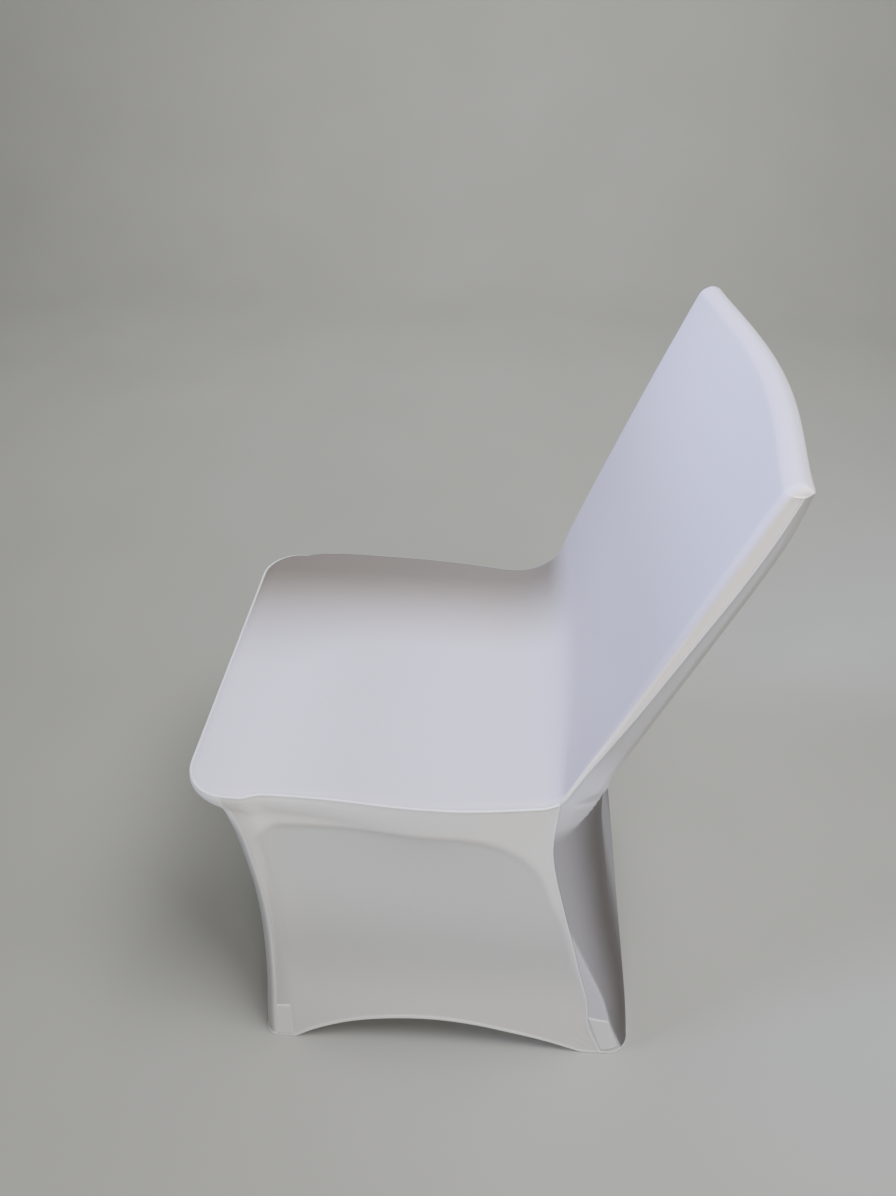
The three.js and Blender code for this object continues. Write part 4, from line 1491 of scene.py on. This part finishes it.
class FootCup:
    """A cup of doubled knit in a lower corner, open at the top."""

    def __init__(self, sizes: CupSizes, side: int, front: bool, origin_y: float) -> None:
        """Keep the cup's sizes and the corner that it stands in.

        Args:
            sizes: Sizes of the cup.
            side: +1 for the left side, -1 for the right one.
            front: Whether it stands at the front.
            origin_y: y of the crease in the finished frame, in millimetres.
        """
        self.sizes = sizes
        self.side = side
        self.front = front
        self.origin_y = origin_y

    @property
    def name(self) -> str:
        """Name of the node that the cup stands for."""
        return f"foot_cup_{'front' if self.front else 'rear'}_{'left' if self.side > 0 else 'right'}"

    def _loop(self, z: float, inset: float) -> np.ndarray:
        """Return the cup's outline at a height.

        Args:
            z: That height.
            inset: How far the outline is drawn in from the panels.

        Returns:
            The points of the outline, in millimetres.
        """
        s = self.sizes
        length = s.front_length if self.front else s.rear_length
        shrink = 2 * (inset - s.cloth - s.clearance)
        out_x = float(SKIRT.at("front_x" if self.front else "seam_x", z)) - inset
        out_y = float(SKIRT.at("front_y" if self.front else "rear_y", z)) + (inset if self.front else -inset)
        in_x = out_x - s.width + shrink
        in_y = out_y + (1 if self.front else -1) * (length - shrink)
        turn_x = float(SKIRT.at("front_round" if self.front else "rear_round", z))
        rear_turn = float(SKIRT.at("rear_y", z) - SKIRT.at("seam_y", z) - SKIRT.at("flat", z))
        turn_y = turn_x if self.front else rear_turn
        tight = s.inner_round if self.front else s.tight_round
        corners = (
            (out_x, out_y, turn_x - inset, turn_y - inset),
            (out_x, in_y, s.inner_round, s.inner_round),
            (in_x, in_y, s.inner_round, s.inner_round),
            (in_x, out_y, tight, tight),
        )
        points = []
        for k, (x, y, round_x, round_y) in enumerate(corners):
            to_x = math.copysign(1, x - (out_x + in_x) / 2)
            to_y = math.copysign(1, y - (out_y + in_y) / 2)
            for n in range(s.corner_steps + 1):
                share = n / s.corner_steps
                angle = math.pi / 2 * (share if k % 2 == 0 else 1 - share)
                px = x - to_x * round_x * (1 - math.sin(angle))
                py = y - to_y * round_y * (1 - math.cos(angle))
                lean = s.taper * min(abs(py - out_y) / length, 1) if to_x > 0 else 0
                points.append((self.side * (px - lean), py + self.origin_y, z))
        return np.array(points)

    def build(self, finish: bpy.types.Material) -> bpy.types.Object:
        """Build the cup with a hem round its mouth and its sole on the floor.

        Args:
            finish: The doubled knit's material.

        Returns:
            The mesh object of the cup.
        """
        s = self.sizes
        away = s.clearance + s.cloth
        hem = s.height - s.hem
        loops = [self._loop(z, away) for z in (CLEARANCE, *s.outer_levels, hem)]
        loops += [self._loop(z, away - s.hem_raise) for z in (hem + s.hem_soft, s.height)]
        loops += [self._loop(z, away + s.cloth) for z in (s.height, hem, *s.inner_levels, s.cloth)]
        count = len(loops[0])
        points = np.concatenate(loops + [loops[0].mean(axis=0)[None], loops[-1].mean(axis=0)[None]])
        faces: list[tuple[int, ...]] = []
        for level in range(len(loops) - 1):
            for k in range(count):
                a, b = level * count + k, level * count + (k + 1) % count
                faces.append((a, b, b + count, a + count))
        smooth = len(faces)
        sole, floor, top = len(points) - 2, len(points) - 1, (len(loops) - 1) * count
        for k in range(count):
            faces.append((sole, (k + 1) % count, k))
            faces.append((floor, top + k, top + (k + 1) % count))
        item = new_object(f"{self.name}_knit", points, faces)
        outward_faces(item)
        double = (points[:, 2] > hem + s.hem_soft / 2).astype(float)
        return finish_cloth(item, smooth, points[:, [1, 2]], finish, double_cloth=double)


# Patches over the feet


@dataclass(frozen=True)
class ThreadLine:
    """A line that a ridge or a row of stitches follows, in millimetres."""

    points: np.ndarray


class Surface:
    """The outer face of a panel on one side of the cover, found by looking at it from that side.

    Attributes:
        far: How far out the looking starts, in millimetres.
        near: How far out the face is looked for where it isn't seen from there.
    """

    far = 400.0
    near = 212.0

    def __init__(self, grid: Grid, side: int) -> None:
        """Keep the face of the grid.

        Args:
            grid: The panel.
            side: +1 for the left side, -1 for the right one.
        """
        self.side = side
        rows, wide = grid.points.shape[:2]
        first = np.arange(rows * wide).reshape(rows, wide)
        corners = (first[:-1, :-1], first[:-1, 1:], first[1:, 1:], first[1:, :-1])
        faces = np.stack(corners, axis=-1).reshape(-1, 4).tolist()
        self.tree = BVHTree.FromPolygons(grid.points.reshape(-1, 3).tolist(), faces)

    def point(self, y: float, z: float, lift: float) -> np.ndarray:
        """Return a point of the face.

        Args:
            y: Place along the cover.
            z: Height.
            lift: How far the point lies off the face.

        Returns:
            The point, in millimetres.
        """
        inward = Vector((-self.side, 0, 0))
        hit, normal, _, _ = self.tree.ray_cast(Vector((self.side * self.far, y, z)), inward)
        if hit is None:
            hit, normal, _, _ = self.tree.find_nearest(Vector((self.side * self.near, y, z)))
        if normal.x * self.side < 0:
            normal = -normal
        return np.array(hit + normal * lift)

    def line(
        self, start: tuple[float, float], end: tuple[float, float], count: int, lift: float
    ) -> np.ndarray:
        """Return a line on the face.

        Args:
            start: y and z of its start.
            end: y and z of its end.
            count: Number of its points.
            lift: How far it lies off the face.

        Returns:
            The points of the line, in millimetres.
        """
        ys, zs = np.linspace(start[0], end[0], count), np.linspace(start[1], end[1], count)
        return np.array([self.point(y, z, lift) for y, z in zip(ys, zs)])


@dataclass(frozen=True)
class FootPatch:
    """A patch of doubled knit over the end of a leg, with four corners given as y and z.

    Attributes:
        name: Name of the piece.
        surface: The face that it lies on.
        corners: Bottom front, bottom rear, top rear and top front.
        steps: Number of faces each way.
        height: How far its face lies off the panel, in millimetres.
        sewn: Shares of its width and height between which its stitches run.
        row_points: Number of points in a row of stitches.
        row_lift: How far the stitches lie off the panel.
    """

    name: str
    surface: Surface
    corners: tuple[tuple[float, float], ...]
    steps: int = 16
    height: float = 0.5
    sewn: tuple[float, float] = (0.07, 0.95)
    row_points: int = 24
    row_lift: float = 0.7

    def _place(self, across: float, up: float) -> tuple[float, float]:
        """Return y and z at shares across and up the patch."""
        a, b, c, d = (np.array(corner) for corner in self.corners)
        return tuple(lerp(lerp(a, b, across), lerp(d, c, across), up))

    def build(self, finish: bpy.types.Material) -> bpy.types.Object:
        """Build the patch.

        Args:
            finish: The doubled knit's material.

        Returns:
            A closed, slim sheet on the panel.
        """
        shares = np.linspace(0, 1, self.steps + 1)
        places = [self._place(across, up) for up in shares for across in shares]
        points = [self.surface.point(y, z, lift) for lift in (self.height, CLEARANCE) for y, z in places]
        item = new_object(self.name, np.array(points), shell_faces(self.steps + 1, self.steps + 1, False))
        outward_faces(item)
        return finish_cloth(item, 2 * self.steps**2, np.array(places + places), finish)

    def stitch_lines(self) -> list[ThreadLine]:
        """Return the lines of stitches just inside the patch's edges.

        Returns:
            One line for each of the four edges.
        """
        low, high = self.sewn
        ends = [(low, low), (high, low), (high, high), (low, high), (low, low)]
        sides = [(self._place(*a), self._place(*b)) for a, b in zip(ends, ends[1:])]
        return [ThreadLine(self.surface.line(a, b, self.row_points, self.row_lift)) for a, b in sides]


FRONT_PATCH = ((-225, 4), (-203.5, 4), (-201.5, 76), (-225, 76))
REAR_PATCH = ((198, 7), (219, 12), (199, 76), (174, 81))
PLEATS = (
    ((193, 14), (166, 62)),
    ((191, 12), (160, 47)),
    ((189, 10), (156, 34)),
    ((187, 9), (158, 24)),
)


# Seams and stitches


@dataclass(frozen=True)
class SeamSizes:
    """Sizes of the seams' ridges, the pleats and the rows of stitches, in millimetres."""

    ridge_spacing: float = 4.0
    ridge_floor: float = 0.4
    pleat_radius: float = 1.0
    pleat_lift: float = -0.7
    pleat_points: int = 12
    pitch: float = 3.2
    length: float = 2.3
    thread_radius: float = 0.28
    shortest: float = 0.85
    longest: float = 1.1
    seed: int = 7
    beside: float = 2.6
    lift: float = 0.12
    hem_inset: float = 1.0
    hem_lift: float = 0.1
    floor_share: float = 0.7


@dataclass(frozen=True)
class Ridge:
    """How a seam shows on the face: a low round ridge, in millimetres."""

    name: str
    radius: float
    lift: float


RIM_RIDGE = Ridge("rim_seams", 1.5, -0.2)
BACK_RIDGE = Ridge("back_seams", 0.6, -0.15)
LEG_RIDGE = Ridge("leg_seams", 1.0, 0.3)
CORNER_RIDGE = Ridge("corner_seams", 0.7, -0.45)


class ThreadWork:
    """Draws ridges and stitches along lines with Geometry Nodes."""

    def __init__(self, name: str, material: bpy.types.Material, sizes: SeamSizes) -> None:
        """Keep the name of the finished piece, its material and the seams' sizes."""
        self.name = name
        self.material = material
        self.sizes = sizes

    def _paths(self, lines: list[ThreadLine]) -> bpy.types.Object:
        """Return one mesh of edges with every line.

        Args:
            lines: The lines.

        Returns:
            The mesh object.
        """
        points = np.concatenate([line.points for line in lines])
        edges, start = [], 0
        for line in lines:
            count = len(line.points)
            edges += [(start + k, start + k + 1) for k in range(count - 1)]
            start += count
        return new_object(self.name, points, [], edges)

    def _finish(
        self, item: bpy.types.Object, group: bpy.types.NodeTree, values: dict[str, object]
    ) -> bpy.types.Object:
        """Run the node group on the paths and keep only its mesh.

        Args:
            item: The mesh of edges.
            group: The node group.
            values: Values of its inputs, by their names.

        Returns:
            The same object, with the finished mesh.
        """
        modifier = item.modifiers.new("thread", "NODES")
        modifier.node_group = group
        for socket in group.interface.items_tree:
            if socket.item_type == "SOCKET" and socket.name in values:
                modifier[socket.identifier] = values[socket.name]
        item.update_tag()
        graph = bpy.context.evaluated_depsgraph_get()
        mesh = bpy.data.meshes.new_from_object(item.evaluated_get(graph))
        item.modifiers.remove(modifier)
        old = item.data
        item.data = mesh
        bpy.data.meshes.remove(old)
        mesh.name = self.name
        mesh.polygons.foreach_set("use_smooth", [True] * len(mesh.polygons))
        return item

    def _group(
        self, name: str, inputs: dict[str, str]
    ) -> tuple[bpy.types.NodeTree, bpy.types.Node, bpy.types.NodeSocket]:
        """Make a node group that ends in Realize Instances and Set Material.

        Args:
            name: Name of the group.
            inputs: Types of its inputs besides the geometry and the material, by their names.

        Returns:
            The group, the node with its inputs, and the socket that takes what the group makes.
        """
        group = bpy.data.node_groups.new(name, "GeometryNodeTree")
        kinds = {"Geometry": "Geometry", **inputs, "Material": "Material"}
        for label, kind in kinds.items():
            group.interface.new_socket(label, in_out="INPUT", socket_type=f"NodeSocket{kind}")
        group.interface.new_socket("Geometry", in_out="OUTPUT", socket_type="NodeSocketGeometry")
        given, result = group.nodes.new("NodeGroupInput"), group.nodes.new("NodeGroupOutput")
        realize = group.nodes.new("GeometryNodeRealizeInstances")
        paint = group.nodes.new("GeometryNodeSetMaterial")
        group.links.new(realize.outputs[0], paint.inputs["Geometry"])
        group.links.new(given.outputs["Material"], paint.inputs["Material"])
        group.links.new(paint.outputs[0], result.inputs[0])
        return group, given, realize.inputs[0]

    def ridges(self, lines: list[ThreadLine], radius: float) -> bpy.types.Object:
        """Draw a round ridge along each line.

        Args:
            lines: The lines to follow.
            radius: Radius of the ridge, in millimetres.

        Returns:
            One mesh with every ridge.
        """
        group, given, made = self._group("seam_ridge", {"Radius": "Float", "Spacing": "Float"})
        curve = group.nodes.new("GeometryNodeMeshToCurve")
        even = add_node(group, "GeometryNodeResampleCurve", mode="LENGTH")
        circle = add_node(group, "GeometryNodeCurvePrimitiveCircle", Resolution=8)
        sweep = group.nodes.new("GeometryNodeCurveToMesh")
        sweep.inputs["Fill Caps"].default_value = True
        link = group.links.new
        link(given.outputs["Geometry"], curve.inputs[0])
        link(curve.outputs[0], even.inputs["Curve"])
        link(given.outputs["Spacing"], even.inputs["Length"])
        link(given.outputs["Radius"], circle.inputs["Radius"])
        link(even.outputs[0], sweep.inputs["Curve"])
        link(circle.outputs["Curve"], sweep.inputs["Profile Curve"])
        link(sweep.outputs[0], made)
        values = {"Radius": radius * MM, "Spacing": self.sizes.ridge_spacing * MM, "Material": self.material}
        return self._finish(self._paths(lines), group, values)

    def stitches(self, lines: list[ThreadLine]) -> bpy.types.Object:
        """Lay a row of stitches along each line.

        Args:
            lines: The lines to follow.

        Returns:
            One mesh with every stitch.
        """
        group, given, made = self._group(
            "stitch_row", {"Pitch": "Float", "Length": "Float", "Radius": "Float", "Seed": "Int"}
        )
        curve = group.nodes.new("GeometryNodeMeshToCurve")
        points = add_node(group, "GeometryNodeCurveToPoints", mode="LENGTH")
        stitch = add_node(group, "GeometryNodeMeshUVSphere", Segments=6, Rings=5, Radius=1.0)
        place = group.nodes.new("GeometryNodeInstanceOnPoints")
        turn = add_node(group, "FunctionNodeAlignEulerToVector", axis="Z")
        size = group.nodes.new("ShaderNodeCombineXYZ")
        half = add_node(group, "ShaderNodeMath", operation="MULTIPLY")
        half.inputs[1].default_value = 0.5
        uneven = add_node(group, "FunctionNodeRandomValue", data_type="FLOAT")
        uneven.inputs[2].default_value = self.sizes.shortest
        uneven.inputs[3].default_value = self.sizes.longest
        scaled = add_node(group, "ShaderNodeMath", operation="MULTIPLY")
        link = group.links.new
        link(given.outputs["Geometry"], curve.inputs[0])
        link(curve.outputs[0], points.inputs[0])
        link(given.outputs["Pitch"], points.inputs["Length"])
        link(points.outputs["Points"], place.inputs["Points"])
        link(points.outputs["Tangent"], turn.inputs["Vector"])
        link(turn.outputs[0], place.inputs["Rotation"])
        link(stitch.outputs["Mesh"], place.inputs["Instance"])
        link(given.outputs["Length"], half.inputs[0])
        link(given.outputs["Seed"], uneven.inputs["Seed"])
        link(half.outputs[0], scaled.inputs[0])
        link(uneven.outputs[1], scaled.inputs[1])
        link(given.outputs["Radius"], size.inputs[0])
        link(given.outputs["Radius"], size.inputs[1])
        link(scaled.outputs[0], size.inputs[2])
        link(size.outputs[0], place.inputs["Scale"])
        link(place.outputs[0], made)
        values = {
            "Pitch": self.sizes.pitch * MM,
            "Length": self.sizes.length * MM,
            "Radius": self.sizes.thread_radius * MM,
            "Seed": self.sizes.seed,
            "Material": self.material,
        }
        return self._finish(self._paths(lines), group, values)


# Stage, light and camera


@dataclass(frozen=True)
class SweepSizes:
    """Sizes of the paper under and behind the cover, in millimetres."""

    front: float = 3000.0
    reach: float = 2300.0
    half_width: float = 5000.0
    turn: float = 1100.0
    height: float = 3200.0
    below: float = 0.2
    turn_steps: int = 24
    wide_steps: int = 20


@dataclass(frozen=True)
class SoftLight:
    """A square area light.

    Attributes:
        name: Its name.
        place: Where it hangs, in metres.
        target: The point that it faces.
        size: Its width, in metres.
        power: Its power, in watts.
        colour: Its colour.
        spread: The angle over which it shines, in degrees.
    """

    name: str
    place: tuple[float, float, float]
    target: tuple[float, float, float]
    size: float
    power: float
    colour: str
    spread: float = 180.0

    def build(self) -> None:
        """Hang the light."""
        light = bpy.data.lights.new(self.name, "AREA")
        light.shape = "SQUARE"
        light.size = self.size
        light.energy = self.power
        light.color = linear(self.colour)[:3]
        light.spread = math.radians(self.spread)
        item = bpy.data.objects.new(self.name, light)
        item.location = self.place
        away = Vector(self.target) - Vector(self.place)
        item.rotation_euler = away.to_track_quat("-Z", "Y").to_euler()
        bpy.context.scene.collection.objects.link(item)


LIGHTS = (
    SoftLight("overhead", (0.5, 0.64, 2.4), (0.0, 0.0, 0.4), 0.9, 40.5, "#ffffff"),
    SoftLight("side", (1.9, 0.25, 1.1), (0.0, 0.0, 0.4), 0.9, 14.0, "#fffdf8"),
    SoftLight("front", (0.6, -1.5, 1.75), (0.0, 0.25, 0.78), 0.6, 4.4, "#c8d6ff", 40.0),
    SoftLight("backdrop", (-1.2, 0.0, 2.6), (-3.2, 0.0, 1.2), 1.5, 50.0, "#ffffff"),
)
ROOM_COLOUR = "#f2f2f0"
ROOM_STRENGTH = 0.21


@dataclass(frozen=True)
class ViewSizes:
    """Where the cover was seen from: metres and radians, the lens in pixels, the sensor in millimetres."""

    place: tuple[float, float, float] = (0.7858, 0.0314, 1.1985)
    yaw: float = 0.0669
    pitch: float = 0.6717
    roll: float = 0.0108
    focal: float = 910.77
    picture_height: float = 1196.0
    sensor_height: float = 24.0
    clip_start: float = 0.05


class Studio:
    """The pale floor and backdrop, the soft light, and the camera."""

    def build(self, paper: bpy.types.Material) -> None:
        """Build the sweep, the lights and the camera."""
        self._sweep(paper, SweepSizes())
        for light in LIGHTS:
            light.build()
        self._room()
        self._camera(ViewSizes())

    def _sweep(self, paper: bpy.types.Material, s: SweepSizes) -> None:
        """Build one sheet of paper that runs along the floor and curves up behind.

        Args:
            paper: Its material.
            s: Its sizes.
        """
        profile = [(s.front, 0.0), (0.0, 0.0)]
        profile += [
            (-s.reach - s.turn * math.sin(a), s.turn * (1 - math.cos(a)))
            for a in np.linspace(0, math.pi / 2, s.turn_steps + 1)
        ]
        profile.append((-s.reach - s.turn, s.height))
        ys = np.linspace(-s.half_width, s.half_width, s.wide_steps + 1)
        points = np.array([(x, y, z - s.below) for x, z in profile for y in ys])
        faces = []
        for i in range(len(profile) - 1):
            for j in range(len(ys) - 1):
                a = i * len(ys) + j
                faces.append((a, a + 1, a + len(ys) + 1, a + len(ys)))
        item = new_object("sweep", points, faces)
        item.data.polygons.foreach_set("use_smooth", [True] * len(faces))
        item.data.materials.append(paper)

    def _room(self) -> None:
        """Set the even glow of the room."""
        world = bpy.data.worlds.new("room")
        bpy.context.scene.world = world
        world.use_nodes = True
        glow = world.node_tree.nodes["Background"]
        glow.inputs[0].default_value = linear(ROOM_COLOUR)
        glow.inputs[1].default_value = ROOM_STRENGTH

    def _camera(self, view: ViewSizes) -> None:
        """Set the camera.

        Args:
            view: Where it stands, how it is turned, and its lens.
        """
        level = math.cos(view.pitch)
        forward = Vector((-level * math.cos(view.yaw), -level * math.sin(view.yaw), -math.sin(view.pitch)))
        right = forward.cross(Vector((0, 0, 1))).normalized()
        above = right.cross(forward)
        turned_right = right * math.cos(view.roll) + above * math.sin(view.roll)
        turned_above = above * math.cos(view.roll) - right * math.sin(view.roll)
        data = bpy.data.cameras.new("camera")
        data.sensor_fit = "VERTICAL"
        data.sensor_height = view.sensor_height
        data.lens = view.sensor_height * view.focal / view.picture_height
        data.clip_start = view.clip_start
        item = bpy.data.objects.new("camera", data)
        turn = Matrix((turned_right, turned_above, -forward)).transposed()
        item.matrix_world = Matrix.Translation(view.place) @ turn.to_4x4()
        bpy.context.scene.collection.objects.link(item)
        bpy.context.scene.camera = item


# The whole cover


@dataclass(frozen=True)
class FlatCut:
    """The flat cut of a panel before it is sewn and stretched, in metres."""

    width: float
    length: float
    area: float
    rests_on: tuple[str, ...]


class ChairCover:
    def __init__(self) -> None:
        """Work out the form and the finishes."""
        self.cloth = ClothSizes()
        self.sewing = SeamSizes()
        form = CoverForm(SeatSizes(), BackSizes(), SkirtSizes(), FoldSizes(), self.cloth)
        self.crease = form.row_of(form.crease_row) - form.row_of(form.corner_row)
        self.grids = {grid.name: grid for grid in form.panels()}
        self.finishes = {slot: knit.build() for slot, knit in KNITS.items()}
        self.thread = SEWING_THREAD.build()
        # The pleat knit is greyer as painted shade in the folds
        self.pleat = PLEAT_KNIT.build()
        # The seam edge's near white is a painted highlight
        self.seam = SEAM_HIGHLIGHT.build()

    def build(self) -> None:
        """Build every piece in order and log it."""
        slots = {"seat_back_panel": Slot.SEAT, "rear_panel": Slot.REAR}
        for name, grid in self.grids.items():
            slot = slots.get(name, Slot.SKIRT)
            item = PanelBuilder(grid, self.cloth).build(self.finishes[slot])
            self._declare(item, name)
        for front in (True, False):
            for side in (1, -1):
                cup = FootCup(CupSizes(), side, front, self.cloth.origin_y)
                item = cup.build(self.finishes[Slot.CUP])
                self._declare(item, cup.name)
        self._ridges()
        self._stitches(self._patches())

    def _declare(self, item: bpy.types.Object, node: str | None) -> None:
        """Tie a piece to the body, hide the node that it stands for, and log the piece.

        Args:
            item: The piece.
            node: Name of the node, or None for a detail that stands for none.
        """
        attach(item, BODY)
        if node:
            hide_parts(node)
        LOG.info("%s: %d faces", item.name, len(item.data.polygons))

    def _ridges(self) -> None:
        """Draw the ridges of the seams."""
        g = self.grids
        seat, skirt = g["seat_back_panel"], g["front_skirt"]
        left, right = g["side_skirt_left"], g["side_skirt_right"]
        rim, back, leg, corner = RIM_RIDGE, BACK_RIDGE, LEG_RIDGE, CORNER_RIDGE
        rims = [seat.line_at(1, last, 0.0, rim.lift)[: self.crease + 1] for last in (False, True)]
        backs = [seat.line_at(1, last, 0.0, back.lift)[self.crease :] for last in (False, True)]
        # Rim and leg seams take the seam edge's painted highlight, back and corner seams the pleat knit's
        # painted shade
        for kind, finish, lines in (
            (rim, self.seam, [seat.line_at(0, False, 0.0, rim.lift)] + rims),
            (back, self.pleat, [seat.line_at(0, True, 0.0, back.lift)] + backs),
            (leg, self.seam, [side.line_at(1, True, 0.0, leg.lift) for side in (left, right)]),
            (corner, self.pleat, [skirt.line_at(1, last, 0.0, corner.lift) for last in (False, True)]),
        ):
            for line in lines:
                line[:, 2] = np.maximum(line[:, 2], kind.radius + self.sewing.ridge_floor)
            work = ThreadWork(kind.name, finish, self.sewing)
            self._declare(work.ridges([ThreadLine(line) for line in lines], kind.radius), None)

    def _patches(self) -> list[ThreadLine]:
        """Lay the doubled patches over the feet and their pleats.

        Returns:
            The lines of the patches' stitches.
        """
        sewing = self.sewing
        rows, pleats = [], []
        for side, name in ((1, "left"), (-1, "right")):
            skirt = Surface(self.grids[f"side_skirt_{name}"], side)
            wrap = Surface(self.grids["rear_panel"], side)
            for place, on, corners in (("front", skirt, FRONT_PATCH), ("rear", wrap, REAR_PATCH)):
                patch = FootPatch(f"foot_patch_{place}_{name}", on, corners)
                self._declare(patch.build(self.finishes[Slot.CUP]), None)
                rows += patch.stitch_lines()
            pleats += [
                ThreadLine(skirt.line(start, end, sewing.pleat_points, sewing.pleat_lift))
                for start, end in PLEATS
            ]
        work = ThreadWork("foot_pleats", self.pleat, sewing)
        self._declare(work.ridges(pleats, sewing.pleat_radius), None)
        return rows

    def _stitches(self, patch_rows: list[ThreadLine]) -> None:
        """Lay the rows of stitches beside the seams, along the hems and round the patches.

        Args:
            patch_rows: The lines of the patches' stitches.
        """
        g, sewing = self.grids, self.sewing
        left, right = g["side_skirt_left"], g["side_skirt_right"]
        beside = [(g["seat_back_panel"], axis, last) for axis in (0, 1) for last in (False, True)]
        beside += [(g["front_skirt"], 1, False), (g["front_skirt"], 1, True)]
        beside += [(left, 1, True), (right, 1, True)]
        away, lift = sewing.beside, sewing.lift
        rows = [ThreadLine(grid.line_at(axis, last, away, lift)) for grid, axis, last in beside]
        on_hem = self.cloth.hem_width - sewing.hem_inset
        hem_lift = self.cloth.hem_raise + sewing.hem_lift
        hemmed = (g["front_skirt"], left, right, g["rear_panel"])
        rows += [ThreadLine(grid.line_at(0, False, on_hem, hem_lift)) for grid in hemmed]
        rows += patch_rows
        for row in rows:
            row.points[:, 2] = np.maximum(row.points[:, 2], sewing.length * sewing.floor_share)
        item = ThreadWork("stitches", self.thread, sewing).stitches(rows)
        self._declare(item, None)


def main() -> None:
    """Build the studio and the cover, and write how large the visual model is."""
    logging.basicConfig(level=logging.INFO, format="%(name)s: %(message)s")
    Studio().build(STUDIO_PAPER.build())
    cover = ChairCover()
    cover.build()
    bpy.context.view_layer.update()


if __name__ == "__main__":
    main()
